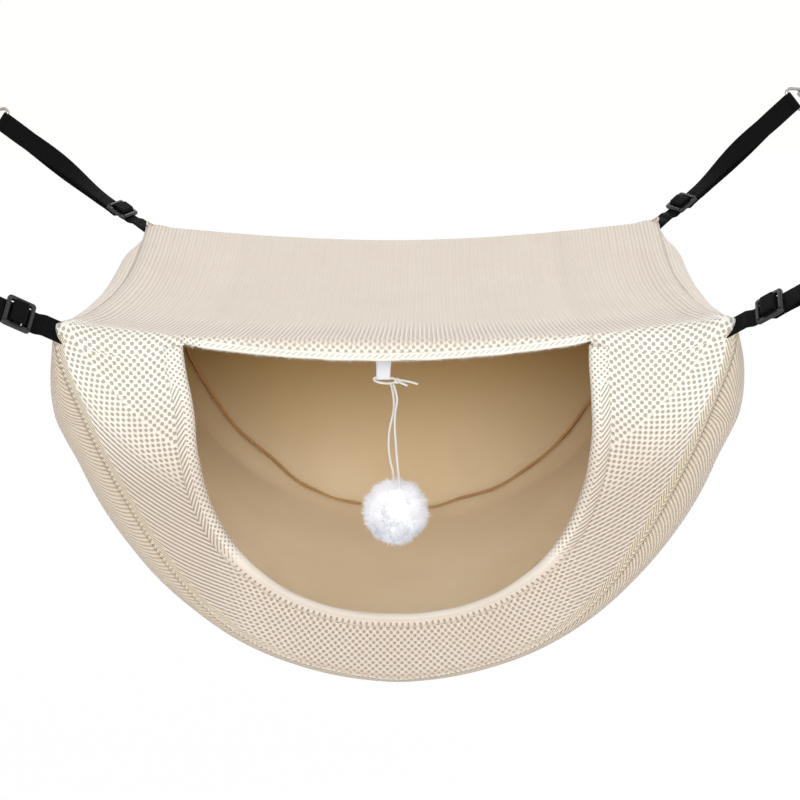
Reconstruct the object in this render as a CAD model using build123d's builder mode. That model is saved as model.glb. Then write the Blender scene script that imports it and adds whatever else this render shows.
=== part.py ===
from build123d import *

import os
from math import cos, pi, radians, sin, tan

# A cage hammock for a cat: a padded mesh pouch that hangs by its four corners.
# Each corner has an adjustable webbing strap with a tri-glide and a swivel snap hook.
# X runs to the right, Y to the back and Z up. Lengths are in millimetres.
# The origin is the middle of the four sewn corners, where the pouch hangs.
os.makedirs("parts", exist_ok=True)

# Pouch
pouch_width = 400
pouch_depth = 300
pouch_drop = 237
seam_inset = 2
gusset_bulge = 13
shoulder_angle = 15
side_pull = 7
side_sag = 12
front_sag = 8
back_sag = 14
top_belly = 15
mesh_wall = 3.5
lining_wall = 1
layer_gap = 0.2
panel_round = 2.5
station_shares = (-1, -0.8, 0, 0.8, 1)
bulge_shares = (0, 0.8, 1, 0.8, 0)
front_end = station_shares[0]
back_end = station_shares[-1]

# Front opening with its hem and lip
opening_half = 119.5
opening_shift = -3.5
opening_spring = 60
opening_rise = 125
opening_corner = 11
opening_top = 19.5
corner_share = 0.62
hem_width = 9
hem_wall = 0.8
lip_roll = 1.6
lip_proud = 0.6
tape_radius = 1.4

# Cat toy
ribbon_width = 10
ribbon_wall = 0.5
ribbon_middle = -6
ribbon_set_back = 7
ribbon_drop = 34.5
ribbon_bore = 0.85
cord_diameter = 1.4
knot_radius = 1.9
pompom_radius = 20.5
pompom_drop = 121.5
pompom_side = -0.7

# Straps
webbing_width = 15
webbing_wall = 1.2
weave_gap = 0.1
slot_gap = 0.8
tab_start = 1.1
strap_pivot = 6
pivot_gap = 0.35
glide_reach = 25
eye_reach = 150
webbing_bend = 1.1
tail_ramp = 9
ramp_length = 4
tail_overlap = 17
lap_gap = 0.2
twist_start = 42
tail_end = 40
hook_roll_angle = 20
bight_leg = 6
bight_gap = 0.2
upper_lens = 2.2
lower_lens = 0.6
twist_shares = (0, 0.12, 0.3, 0.5, 0.7, 0.88, 1)

# Tri-glide
glide_length = 18
glide_width = 21
glide_wall = 2.4
glide_corner = 2.4
glide_round = 0.6
centre_bar = 2.8
slot_length = 5
slot_width = 15.8
slot_corner = 0.6
rail_height = 0.8
rail_width = 1.8
rail_round = 0.35

# Hook eye
eye_wire = 2.6
eye_width = 18.8
eye_side = 4.5
eye_neck = 6
eye_neck_place = 11.5
eye_bend = 2.2
boss_start = 9.5
boss_length = 4
boss_radius = 3.6
boss_round = 0.6

# Snap hook
post_radius = 1.5
post_clearance = 0.05
head_radius = 2.6
head_height = 1.5
hook_gap = 0.3
collar_radius = 3.4
collar_height = 2.4
block_width = 10
block_height = 6.2
block_wall = 6
block_round = 1.2
block_place = 18.9
jaw_radius = 7
jaw_wire = 3.4
jaw_centre = 28
nose_drop = 2.6
leg_foot = 17
leg_side = 3.5
leg_knee = 5
leg_bend = 4

# Gate with its pin and leaf spring
gate_wall = 2.5
gate_width = 2
gate_tip = 1.6
gate_boss = 1.9
gate_side = 3.4
gate_place = 19.2
gate_gap = 0.1
gate_touch = 0.2
pin_radius = 0.8
pin_clearance = 0.03
spring_wall = 0.4
spring_room = 1.2
spring_width = 2
spring_touch = 0.15
spring_side = 2.7
spring_foot = 17.6
spring_knee = 20.4
spring_tip = 22.8

half_width = pouch_width / 2
half_depth = pouch_depth / 2
panel_start = half_depth
lining_start = half_depth - layer_gap
under_mesh = mesh_wall + layer_gap
under_lining = under_mesh + lining_wall + layer_gap


def canopy_line(station):
    # Half width, edge height and middle height of the sagging top at a station
    pull = cos(station * pi / 2)
    lean = (front_sag + back_sag) / 2 + station * (back_sag - front_sag) / 2
    return half_width - side_pull * pull, -side_sag * pull, -lean - top_belly * pull


def canopy_height(side, station):
    # Height of the top at a distance from its middle line, on the arc of that station
    full_side, edge, middle = canopy_line(station)
    dip = edge - middle
    arc_radius = (full_side**2 + dip**2) / (2 * dip)
    return middle + arc_radius - (arc_radius**2 - side**2) ** 0.5


def pouch_edge(inset, station, bulge_share, top):
    # The U line of the pouch: two shoulders and the elliptic underside
    reach = half_width - seam_inset + gusset_bulge * bulge_share - inset
    drop = pouch_drop + gusset_bulge * bulge_share - inset
    corner = canopy_line(station)[0] - inset
    height = canopy_height(corner, station) - top
    start = 180 + shoulder_angle
    under = EllipticalCenterArc((0, 0), reach, drop, start, arc_size=180 - 2 * shoulder_angle)
    left = TangentArc(under @ 0, (-corner, height), tangent=-(under % 0))
    right = TangentArc(under @ 1, (corner, height), tangent=under % 1)
    return left, right


def trough_wall(near, far, top, end):
    # Loft of U-shaped bands, from the front seam to the back seam
    bands = []
    for station, bulge in zip(station_shares, bulge_shares):
        with BuildSketch(Plane.XZ.offset(-station * end)) as band:
            with BuildLine():
                outer = pouch_edge(near, station, bulge, top)
                inner = pouch_edge(far, station, bulge, top)
                Line(outer[0] @ 1, inner[0] @ 1)
                Line(outer[1] @ 1, inner[1] @ 1)
            make_face()
        bands.append(band.sketch)
    loft(bands)


def canopy_arc(side, station, below):
    # A sagging line across the top, a given depth below its upper face
    edge = canopy_height(side, station) - below
    middle = canopy_line(station)[2] - below
    return ThreePointArc((-side, edge), (0, middle), (side, edge))


def canopy_wall(near, far, trim, end):
    # Loft of sagging strips between the two side edges
    strips = []
    for station in station_shares:
        side = canopy_line(station)[0] - trim
        with BuildSketch(Plane.XZ.offset(-station * end)) as strip:
            with BuildLine():
                over = canopy_arc(side, station, near)
                under = canopy_arc(side, station, far)
                Line(over @ 0, under @ 0)
                Line(over @ 1, under @ 1)
            make_face()
        strips.append(strip.sketch)
    loft(strips)


def end_outline(inset, station):
    # The half-moon of an end panel, at the front seam or the back one
    with BuildLine() as outline:
        left, right = pouch_edge(inset, station, 0, inset)
        canopy_arc(canopy_line(station)[0] - inset, station, inset)
    make_face(outline.edges())


def opening_outline(grow, mode=Mode.ADD):
    # The D-shaped opening, flat side up
    side = opening_half + grow
    rise = opening_rise + grow
    foot = (opening_shift, -opening_spring - rise)
    with BuildLine() as outline:
        left, right = [
            Bezier(
                (opening_shift + way * side, -opening_spring),
                (opening_shift + way * side, -opening_spring - corner_share * rise),
                (opening_shift + way * corner_share * side, -opening_spring - rise),
                foot,
            )
            for way in (-1, 1)
        ]
        left = Line(left @ 0, (opening_shift - side, -opening_corner + grow))
        right = Line(right @ 0, (opening_shift + side, -opening_corner + grow))
        ThreePointArc(left @ 1, (opening_shift, -opening_top + grow), right @ 1)
    make_face(outline.edges(), mode=mode)


# Padded mesh top
with BuildPart() as top_panel:
    canopy_wall(0, mesh_wall, 0, half_depth)

top_panel.part.label = "top_panel"
export_step(top_panel.part, "parts/top_panel.step")

# Padded mesh trough, the sides and the underside in one strip
with BuildPart() as bottom_gusset:
    trough_wall(0, mesh_wall, under_mesh, half_depth - layer_gap)

bottom_gusset.part.label = "bottom_gusset"
export_step(bottom_gusset.part, "parts/bottom_gusset.step")

# Mesh end panels
with BuildPart() as front_panel:
    with BuildSketch(Plane.XZ.offset(panel_start)):
        end_outline(0, front_end)
        opening_outline(0, Mode.SUBTRACT)
    extrude(amount=mesh_wall)
    rim = front_panel.faces().sort_by(Axis.Y)[0].outer_wire().edges()
    fillet(rim, panel_round)

front_panel.part.label = "front_panel"
export_step(front_panel.part, "parts/front_panel.step")

with BuildPart() as back_panel:
    with BuildSketch(Plane.XZ.offset(-panel_start)):
        end_outline(0, back_end)
    extrude(amount=-mesh_wall)
    rim = back_panel.faces().sort_by(Axis.Y)[-1].outer_wire().edges()
    fillet(rim, panel_round)

back_panel.part.label = "back_panel"
export_step(back_panel.part, "parts/back_panel.step")

# Linings, each just inside its mesh panel
with BuildPart() as top_lining:
    canopy_wall(under_mesh, under_mesh + lining_wall, under_mesh, lining_start)

top_lining.part.label = "top_lining"
export_step(top_lining.part, "parts/top_lining.step")

with BuildPart() as gusset_lining:
    trough_wall(under_mesh, under_mesh + lining_wall, under_lining, lining_start)

gusset_lining.part.label = "gusset_lining"
export_step(gusset_lining.part, "parts/gusset_lining.step")

with BuildPart() as front_lining:
    with BuildSketch(Plane.XZ.offset(lining_start)):
        end_outline(under_lining, front_end)
        opening_outline(0, Mode.SUBTRACT)
    extrude(amount=-lining_wall)

front_lining.part.label = "front_lining"
export_step(front_lining.part, "parts/front_lining.step")

with BuildPart() as back_lining:
    with BuildSketch(Plane.XZ.offset(-lining_start)):
        end_outline(under_lining, back_end)
    extrude(amount=lining_wall)

back_lining.part.label = "back_lining"
export_step(back_lining.part, "parts/back_lining.step")

# Mesh hem folded round the curved side of the opening
front_face = panel_start + mesh_wall
lining_face = lining_start - lining_wall
hem_inside = layer_gap + hem_wall
hem_start = front_face + hem_wall
hem_depth = hem_start - lining_face + hem_wall


def hem_ring(outer, inner):
    # A band along the curved side of the opening
    above = (Align.CENTER, Align.MIN)
    opening_outline(outer)
    opening_outline(-inner, Mode.SUBTRACT)
    with Locations((opening_shift, -opening_spring)):
        Rectangle(2 * (opening_half - inner), opening_rise, align=above, mode=Mode.SUBTRACT)
    with Locations((opening_shift, -opening_corner)):
        Rectangle(pouch_width, opening_rise, align=above, mode=Mode.SUBTRACT)


with BuildPart() as opening_hem:
    with BuildSketch(Plane.XZ.offset(front_face)):
        hem_ring(hem_width, hem_inside)
    extrude(amount=hem_wall)
    with BuildSketch(Plane.XZ.offset(hem_start)):
        hem_ring(-layer_gap, hem_inside)
    extrude(amount=-hem_depth)
    with BuildSketch(Plane.XZ.offset(lining_face)):
        hem_ring(hem_width, hem_inside)
    extrude(amount=-hem_wall)

opening_hem.part.label = "opening_hem"
export_step(opening_hem.part, "parts/opening_hem.step")

# Rolled lip under the flat side of the opening
lip_half = opening_half - hem_inside - layer_gap

with BuildPart() as lip_hem:
    with BuildSketch(Plane.XZ.offset(front_face + lip_proud)):
        with BuildLine():
            over, under = [
                ThreePointArc(
                    (opening_shift - lip_half, -edge),
                    (opening_shift, opening_corner - opening_top - edge),
                    (opening_shift + lip_half, -edge),
                )
                for edge in (opening_corner + layer_gap, opening_corner + layer_gap + lip_roll)
            ]
            Line(over @ 0, under @ 0)
            Line(over @ 1, under @ 1)
        make_face()
    extrude(amount=lining_face - front_face - 2 * lip_proud)

lip_hem.part.label = "lip_hem"
export_step(lip_hem.part, "parts/lip_hem.step")

# Raised seam between the back lining and the trough lining
tape_inset = under_lining + layer_gap + tape_radius
tape_place = lining_start - lining_wall - layer_gap - tape_radius

with BuildPart() as seam_tape:
    with BuildLine(Plane.XZ.offset(-tape_place)) as seam:
        pouch_edge(tape_inset, back_end, 0, tape_inset + tape_radius)
    seam_line = seam.wires()[0]
    with BuildSketch(Plane(origin=seam_line @ 0, z_dir=seam_line % 0)):
        Circle(tape_radius)
    sweep(path=seam_line)

seam_tape.part.label = "seam_tape"
export_step(seam_tape.part, "parts/seam_tape.step")

# Ribbon loop sewn under the top lining, behind the lip
toy_depth = half_depth - ribbon_set_back
ribbon_line = ribbon_bore + ribbon_wall / 2
ribbon_ceiling = canopy_height(ribbon_middle, front_end) - under_lining - lining_wall
ribbon_top = ribbon_ceiling - top_belly * cos(toy_depth / half_depth * pi / 2) + hook_gap

with BuildPart() as ribbon_tab:
    with BuildSketch(Plane.YZ.offset(ribbon_middle)):
        with BuildLine():
            front_leg, back_leg = [
                Line((place, ribbon_top), (place, -ribbon_drop))
                for place in (-toy_depth - ribbon_line, -toy_depth + ribbon_line)
            ]
            ThreePointArc(front_leg @ 1, (-toy_depth, -ribbon_drop - ribbon_line), back_leg @ 1)
        trace(line_width=ribbon_wall)
    extrude(amount=ribbon_width / 2, both=True)

ribbon_tab.part.label = "ribbon_tab"
export_step(ribbon_tab.part, "parts/ribbon_tab.step")


# Limp cord of the toy
# The points are chosen by hand: X and Z as they hang, Y off the middle plane of the toy.
run_share = 0.45
strand_route = [
    (-0.3, 0.9, -38.9),
    (0.9, 0.9, -46.7),
    (0.1, 1.2, -55.7),
    (-4.0, 0.8, -69.7),
    (-4.2, 0.5, -83.3),
    (-1.2, 0.4, -97.5),
    (-2.6, 0.2, -107),
    (-4.6, 0, -115.5),
    (-0.6, 0, -121.6),
    (3.4, 0, -115.6),
    (2.6, -0.3, -106.5),
    (1.0, -0.7, -96.5),
    (1.2, -1.1, -83.3),
    (-1.2, -1.2, -66),
    (-0.9, -1.1, -50.5),
    (2.2, -0.9, -39),
]
# From the knot through the ribbon and back below it, then the two short ends
knot_routes = [
    [
        (1.0, 0, -35.6),
        (-0.6, 0.05, -34.6),
        (-4.2, -0.05, -34.45),
        (-8.6, 0.05, -34.5),
        (-13.2, 0, -34.5),
        (-13.2, 0.1, -37.6),
        (-9.6, 0.2, -37.5),
        (-6, 0.3, -37.7),
        (-2.1, 0.2, -37.4),
        (0.9, 0, -37.0),
    ],
    [(2.4, 0, -35.9), (5.4, 0.3, -36.6), (9.2, -0.9, -36.4), (13.8, -0.6, -38.8)],
    [(2.2, -0.5, -37.2), (4.4, -1.2, -38.2), (7.4, -1.8, -40.6)],
]
knot_place = (1.4, 0, -36.2)
# Turns the seam of the ball away from the tubes
knot_turn = (0, 90, 0)


def toy_point(point):
    side, depth, height = point
    return Vector(side, depth - toy_depth, height)


def cord_tube(route):
    # Straight runs joined by tangent arcs
    points = [toy_point(point) for point in route]
    radii = []
    for before, here, after in zip(points, points[1:], points[2:]):
        arriving, leaving = here - before, after - here
        turn = radians(arriving.get_angle(leaving))
        radii.append(run_share * min(arriving.length, leaving.length) / tan(turn / 2))
    print("cord radii", [round(radius, 1) for radius in radii])
    with BuildPart() as tube:
        with BuildLine() as line:
            FilletPolyline(points, radius=radii)
        path = line.wires()[0]
        with BuildSketch(Plane(origin=path @ 0, z_dir=path % 0)):
            Circle(cord_diameter / 2)
        sweep(path=path)
    plain = pi * cord_diameter**2 / 4 * path.length
    print("cord length", round(path.length, 1), "volume share", round(tube.part.volume / plain, 4))
    return tube.part


toy_cord = cord_tube(strand_route)
toy_cord.label = "toy_cord"
export_step(toy_cord, "parts/toy_cord.step")

knot_tubes = [cord_tube(route) for route in knot_routes]

with BuildPart() as cord_knot:
    with Locations(toy_point(knot_place)):
        Sphere(knot_radius, rotation=knot_turn)
    for tube in knot_tubes:
        add(tube)

cord_knot.part.label = "cord_knot"
export_step(cord_knot.part, "parts/cord_knot.step")

# Pompom
with BuildPart() as pompom:
    with Locations((pompom_side, -toy_depth, -pompom_drop)):
        Sphere(pompom_radius)

pompom.part.label = "pompom"
export_step(pompom.part, "parts/pompom.step")

# Straps
# Side and end of each corner, then the heading, rise and roll of its webbing in degrees
corners = {
    "front_left": (-1, -1, 22, 31, 45),
    "front_right": (1, -1, 26, 35, 60),
    "back_left": (-1, 1, 22, 31, 88),
    "back_right": (1, 1, 26, 35, 88),
}


def strap_axes(corner, roll):
    # Unit vectors along the webbing and off its face
    side, end, heading, rise = corners[corner][:4]
    heading, rise, roll = radians(heading), radians(rise), radians(roll)
    along = Vector(side * cos(rise) * cos(heading), end * cos(rise) * sin(heading), sin(rise))
    level = Vector(side * along.Y, -side * along.X, 0).normalized()
    upward = along.cross(level) * -side
    return along, level * cos(roll) + upward * sin(roll)


def strap_start(corner):
    # The sewn corner, halfway through the mesh
    side, end = corners[corner][:2]
    return Vector(side * half_width, end * half_depth, -mesh_wall / 2)


def strap_plane(corner, roll):
    # X along the webbing and Y off its face
    along, face = strap_axes(corner, roll)
    return Plane(origin=strap_start(corner), x_dir=along, z_dir=along.cross(face))


def hook_plane(corner):
    # X along the bar of the eye and Y along the strap, from the middle of the bar
    along, face = strap_axes(corner, hook_roll_angle)
    return Plane(origin=strap_start(corner) + along * eye_reach, x_dir=along.cross(face), z_dir=face)


def webbing_band(plane, points, bend):
    # Flat webbing that follows a line in the plane
    with BuildSketch(plane) as band:
        with BuildLine():
            FilletPolyline(points, radius=bend)
        trace(line_width=webbing_wall)
    extrude(band.sketch, amount=webbing_width / 2, both=True)


def twisted_run(corner, start_height, end_height, lens):
    # Webbing that turns from its roll at the corner to its roll at the hook
    sections = []
    for share in twist_shares:
        turned = (1 - cos(share * pi)) / 2
        roll = corners[corner][4] + turned * (hook_roll_angle - corners[corner][4])
        height = start_height + turned * (end_height - start_height) + lens * sin(share * pi) ** 2
        along, face = strap_axes(corner, roll)
        reach = twist_start + share * (twist_end - twist_start)
        place = strap_start(corner) + along * reach + face * height
        with BuildSketch(Plane(origin=place, x_dir=along.cross(face), z_dir=along)) as section:
            Rectangle(webbing_width, webbing_wall)
        sections.append(section.sketch)
    loft(sections)


# Heights of the layers off the middle plane of the tri-glide
layer_step = webbing_wall + weave_gap
glide_layer = (glide_wall + webbing_wall) / 2 + weave_gap
hump_layer = glide_layer + layer_step
tail_layer = -glide_layer - layer_step
sewn_layer = tail_layer - layer_step
# Places of the layers along the tri-glide, on each side of its centre bar
wrap_reach = centre_bar / 2 + weave_gap + webbing_wall / 2
hump_reach = wrap_reach + webbing_wall + slot_gap
slot_reach = (centre_bar + slot_length) / 2
# The turn round the bar of the eye
bight_radius = eye_wire / 2 + bight_gap + webbing_wall / 2
twist_end = eye_reach - bight_leg

for corner in corners:
    strap = strap_plane(corner, corners[corner][4])

    # Sewn end of the webbing in the pouch's corner
    with BuildPart() as sewn_tab:
        with BuildSketch(strap):
            with Locations((tab_start, 0)):
                Rectangle(
                    strap_pivot - pivot_gap - tab_start, webbing_wall, align=(Align.MIN, Align.CENTER)
                )
        extrude(amount=webbing_width / 2, both=True)

    sewn_tab.part.label = f"{corner}_sewn_tab"
    export_step(sewn_tab.part, f"parts/{corner}_sewn_tab.step")

    # Webbing from the corner into the tri-glide
    tail_points = [
        (strap_pivot + pivot_gap, 0),
        (tail_ramp, 0),
        (tail_ramp + ramp_length, -glide_layer),
        (tail_overlap - lap_gap, -glide_layer),
    ]
    with BuildPart() as tail_webbing:
        webbing_band(strap, tail_points, webbing_bend)

    tail_webbing.part.label = f"{corner}_tail_webbing"
    export_step(tail_webbing.part, f"parts/{corner}_tail_webbing.step")

    # Webbing up through the tri-glide, over it and down again, then on to the hook
    outer_points = [
        (tail_overlap, -glide_layer),
        (glide_reach - hump_reach, -glide_layer),
        (glide_reach - hump_reach, hump_layer),
        (glide_reach + hump_reach, hump_layer),
        (glide_reach + hump_reach, -glide_layer),
        (twist_start, -glide_layer),
    ]
    # The returning layer, looped round the centre bar and sewn back on itself
    inner_points = [
        (twist_start, sewn_layer),
        (glide_reach + centre_bar / 2, sewn_layer),
        (glide_reach - wrap_reach, -glide_layer),
        (glide_reach - wrap_reach, glide_layer),
        (glide_reach + wrap_reach, glide_layer),
        (glide_reach + wrap_reach, tail_layer),
        (tail_end, tail_layer),
    ]
    with BuildPart() as loop_webbing:
        webbing_band(strap, outer_points, webbing_bend)
        twisted_run(corner, -glide_layer, bight_radius, upper_lens)
        webbing_band(strap, inner_points, webbing_bend)
        twisted_run(corner, sewn_layer, -bight_radius, -lower_lens)

    loop_webbing.part.label = f"{corner}_loop_webbing"
    export_step(loop_webbing.part, f"parts/{corner}_loop_webbing.step")

    # The turn of the webbing round the bar of the hook's eye
    with BuildPart() as webbing_bight:
        with BuildSketch(strap_plane(corner, hook_roll_angle)):
            with BuildLine():
                upper = Line((twist_end + pivot_gap, bight_radius), (eye_reach, bight_radius))
                lower = Line((twist_end + pivot_gap, -bight_radius), (eye_reach, -bight_radius))
                ThreePointArc(upper @ 1, (eye_reach + bight_radius, 0), lower @ 1)
            trace(line_width=webbing_wall)
        extrude(amount=webbing_width / 2, both=True)

    webbing_bight.part.label = f"{corner}_webbing_bight"
    export_step(webbing_bight.part, f"parts/{corner}_webbing_bight.step")

# Tri-glide, X along the strap and Y off its face
with BuildPart() as tri_glide:
    with BuildSketch(Plane.XZ):
        with Locations((glide_reach, 0)):
            RectangleRounded(glide_length, glide_width, glide_corner)
        with Locations((glide_reach - slot_reach, 0), (glide_reach + slot_reach, 0)):
            RectangleRounded(slot_length, slot_width, slot_corner, mode=Mode.SUBTRACT)
    extrude(amount=glide_wall / 2, both=True)
    under_face, upper_face = tri_glide.faces().filter_by(Axis.Y)
    fillet(under_face.outer_wire().edges() + upper_face.outer_wire().edges(), glide_round)
    rail_reach = (glide_length - rail_width) / 2 - glide_round
    with BuildSketch(Plane.XZ.offset(-glide_wall / 2)):
        with Locations((glide_reach - rail_reach, 0), (glide_reach + rail_reach, 0)):
            RectangleRounded(rail_width, slot_width, rail_round)
    extrude(amount=-rail_height)
    fillet(tri_glide.faces().sort_by(Axis.Y)[-2:].edges(), rail_round)

# Wire eye with its swivel boss, X along its bar and Y along the strap
eye_half = eye_width / 2
with BuildPart() as hook_eye:
    with BuildLine() as ring:
        FilletPolyline(
            (-eye_half, 0),
            (eye_half, 0),
            (eye_half, eye_side),
            (eye_neck / 2, eye_neck_place),
            (-eye_neck / 2, eye_neck_place),
            (-eye_half, eye_side),
            radius=eye_bend,
            close=True,
        )
    ring_line = ring.wires()[0]
    with BuildSketch(Plane(origin=ring_line @ 0, z_dir=ring_line % 0)):
        Circle(eye_wire / 2)
    sweep(path=ring_line)
    with BuildSketch(Plane.XZ.offset(-boss_start)):
        Circle(boss_radius)
    extrude(amount=-boss_length)
    fillet(hook_eye.faces().sort_by(Axis.Y)[-1].edges(), boss_round)
    with BuildSketch(Plane.XZ.offset(-boss_start)):
        Circle(post_radius + post_clearance)
    extrude(amount=-boss_length, mode=Mode.SUBTRACT)

# Snap hook: swivel post, block and open jaw
head_end = boss_start - hook_gap
collar_start = boss_start + boss_length + hook_gap
slot_foot = gate_place - gate_boss - hook_gap
with BuildPart() as snap_hook:
    with BuildSketch():
        with BuildLine():
            Polyline(
                (0, head_end - head_height),
                (head_radius, head_end - head_height),
                (head_radius, head_end),
                (post_radius, head_end),
                (post_radius, collar_start),
                (collar_radius, collar_start),
                (collar_radius, collar_start + collar_height),
                (0, collar_start + collar_height),
                close=True,
            )
        make_face()
    revolve(axis=Axis.Y)
    with BuildSketch():
        with Locations((0, block_place)):
            RectangleRounded(block_width, block_height, block_round)
    extrude(amount=block_wall / 2, both=True)
    with BuildLine() as jaw:
        leg = FilletPolyline(
            (-leg_side, leg_foot),
            (-jaw_radius, jaw_centre - leg_knee),
            (-jaw_radius, jaw_centre),
            radius=leg_bend,
        )
        arc = ThreePointArc(leg @ 1, (0, jaw_centre + jaw_radius), (jaw_radius, jaw_centre))
        Line(arc @ 1, (jaw_radius, jaw_centre - nose_drop))
    jaw_line = jaw.wires()[0]
    with BuildSketch(Plane(origin=jaw_line @ 0, z_dir=jaw_line % 0)):
        Circle(jaw_wire / 2)
    sweep(path=jaw_line)
    with BuildSketch():
        with Locations((gate_side - gate_boss - spring_room, slot_foot)):
            Rectangle(block_width, block_height + collar_height, align=(Align.MIN, Align.MIN))
    extrude(amount=gate_wall / 2 + gate_gap, both=True, mode=Mode.SUBTRACT)
    with BuildSketch():
        with Locations((gate_side, gate_place)):
            Circle(pin_radius + pin_clearance)
    extrude(amount=block_wall / 2, both=True, mode=Mode.SUBTRACT)

# Gate, closed against the inside of the nose
gate_end = (jaw_radius - jaw_wire / 2 - gate_touch - gate_width / 2, jaw_centre - nose_drop + gate_tip)
with BuildPart() as gate:
    with BuildSketch() as gate_profile:
        with BuildLine():
            gate_line = Line((gate_side, gate_place), gate_end)
        trace(line_width=gate_width)
        with Locations((gate_side, gate_place)):
            Circle(gate_boss)
            Circle(pin_radius + pin_clearance, mode=Mode.SUBTRACT)
    extrude(amount=gate_wall / 2, both=True)

# Gate pin
with BuildPart() as gate_pin:
    with BuildSketch():
        with Locations((gate_side, gate_place)):
            Circle(pin_radius)
    extrude(amount=block_wall / 2, both=True)

# Leaf spring behind the gate
spring_slope = (gate_end[0] - gate_side) / (gate_end[1] - gate_place)
spring_clear = gate_width / 2 + spring_touch + spring_wall / 2
spring_lean = gate_side - spring_clear + spring_slope * (spring_tip - gate_place)
with BuildPart() as gate_spring:
    with BuildSketch():
        with BuildLine():
            FilletPolyline(
                (gate_side - spring_side, spring_foot),
                (gate_side - spring_side, spring_knee),
                (spring_lean, spring_tip),
                radius=webbing_bend,
            )
        trace(line_width=spring_wall)
    extrude(amount=spring_width / 2, both=True)

# The same hardware at each corner
for corner in corners:
    placed = tri_glide.part.moved(strap_plane(corner, corners[corner][4]).location)
    placed.label = f"{corner}_tri_glide"
    export_step(placed, f"parts/{corner}_tri_glide.step")
    for piece, built in {
        "hook_eye": hook_eye,
        "snap_hook": snap_hook,
        "gate": gate,
        "gate_pin": gate_pin,
        "gate_spring": gate_spring,
    }.items():
        placed = built.part.moved(hook_plane(corner).location)
        placed.label = f"{corner}_{piece}"
        export_step(placed, f"parts/{corner}_{piece}.step")
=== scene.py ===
import math
import random

import bmesh
import bpy
from mathutils import Matrix, Vector, noise


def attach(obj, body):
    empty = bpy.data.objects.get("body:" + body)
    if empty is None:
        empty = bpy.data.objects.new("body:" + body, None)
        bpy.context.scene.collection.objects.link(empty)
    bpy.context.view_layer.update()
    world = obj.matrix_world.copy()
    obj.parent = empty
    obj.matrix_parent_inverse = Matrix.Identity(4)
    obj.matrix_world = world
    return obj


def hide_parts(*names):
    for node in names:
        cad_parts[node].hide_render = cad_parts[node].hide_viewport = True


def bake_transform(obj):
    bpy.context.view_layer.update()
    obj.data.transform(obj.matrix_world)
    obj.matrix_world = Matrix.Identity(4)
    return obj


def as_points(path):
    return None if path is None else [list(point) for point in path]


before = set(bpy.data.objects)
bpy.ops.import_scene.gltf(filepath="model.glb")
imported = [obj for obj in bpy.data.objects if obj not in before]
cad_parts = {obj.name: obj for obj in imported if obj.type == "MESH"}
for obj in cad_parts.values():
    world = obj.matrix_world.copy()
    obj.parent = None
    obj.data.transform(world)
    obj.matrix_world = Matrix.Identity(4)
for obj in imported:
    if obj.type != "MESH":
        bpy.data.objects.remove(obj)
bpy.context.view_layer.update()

# A cage hammock for a cat: padded spacer mesh outside, tan cloth inside, four black straps.
# Lengths in the dictionaries are millimetres, and places are turned to metres where a mesh is made.
mm = 0.001

pouch = {
    "halfWidth": 200, "halfDepth": 150, "sidePull": 7, "sideSag": 12, "frontSag": 8, "backSag": 14,
    "belly": 15, "reach": 198, "drop": 236, "sideBulge": 15, "bulgeLoss": 9.3, "bulgeRun": 18,
    "shoulder": 15, "shoulderOut": 4.6, "shoulderSteps": 14, "underSteps": 150, "seamDepth": 148.5, "wall": 3,
    "crease": 0.5, "cornerOut": 2.5, "cornerUp": 2.6, "edgeRise": 3, "edgeRun": 18,
}
opening = {
    "centreX": -1.2, "centreZ": -60, "half": 121, "rise": 129, "power": 2.25,
    "leftTop": (-127, -10), "rightTop": (116.5, -12),
}


# Shapes that several pieces share

def smooth(share):
    share = max(0.0, min(1.0, share))
    return share * share * (3 - 2 * share)


def rounded(share):
    # Rises like a quarter circle
    share = max(0.0, min(1.0, share))
    return math.sqrt(1 - (1 - share) ** 2)


def mix(first, last, share):
    return first + (last - first) * share


def spread(first, last, steps):
    return [mix(first, last, step / steps) for step in range(steps + 1)]


def creased(place, height, size=38):
    # Slow uneven folds of soft cloth
    return height * noise.noise(Vector(place) / size)


def deckEdge(y):
    pull = math.cos(max(-1, min(1, y / pouch["halfDepth"])) * math.pi / 2)
    return pouch["halfWidth"] - pouch["sidePull"] * pull, -pouch["sideSag"] * pull


def deckHeight(x, y):
    station = max(-1, min(1, y / pouch["halfDepth"]))
    half, edge = deckEdge(y)
    lean = mix(pouch["frontSag"], pouch["backSag"], (station + 1) / 2)
    middle = -lean - pouch["belly"] * math.cos(station * math.pi / 2)
    height = mix(middle, edge, abs(x / half) ** mix(2, 1.75, smooth(station)))
    beside = min(1, max(0, (half - abs(x)) / pouch["edgeRun"]))
    rise = pouch["edgeRise"] * math.sin(math.pi * beside)
    return height + rise * (0.4 + 0.6 * math.cos(station * math.pi / 2))


def cornerPull(x, y):
    # The straps draw the front corners out and up
    share = smooth((abs(x) / pouch["halfWidth"] - 0.6) / 0.4) * smooth((-y - 90) / 60)
    return math.copysign(pouch["cornerOut"] * share, x), pouch["cornerUp"] * share


def seamWave(turn):
    # The seam round the front wanders in and out by a few millimetres, and its foot hangs lowest
    side = min(turn, 180 - turn)
    calm = 1 - (side / 90) ** 4
    return 0.988 - 0.018 * math.cos(math.radians(6 * (side - 30))) * calm + 0.016 * smooth((side - 50) / 40)


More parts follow.
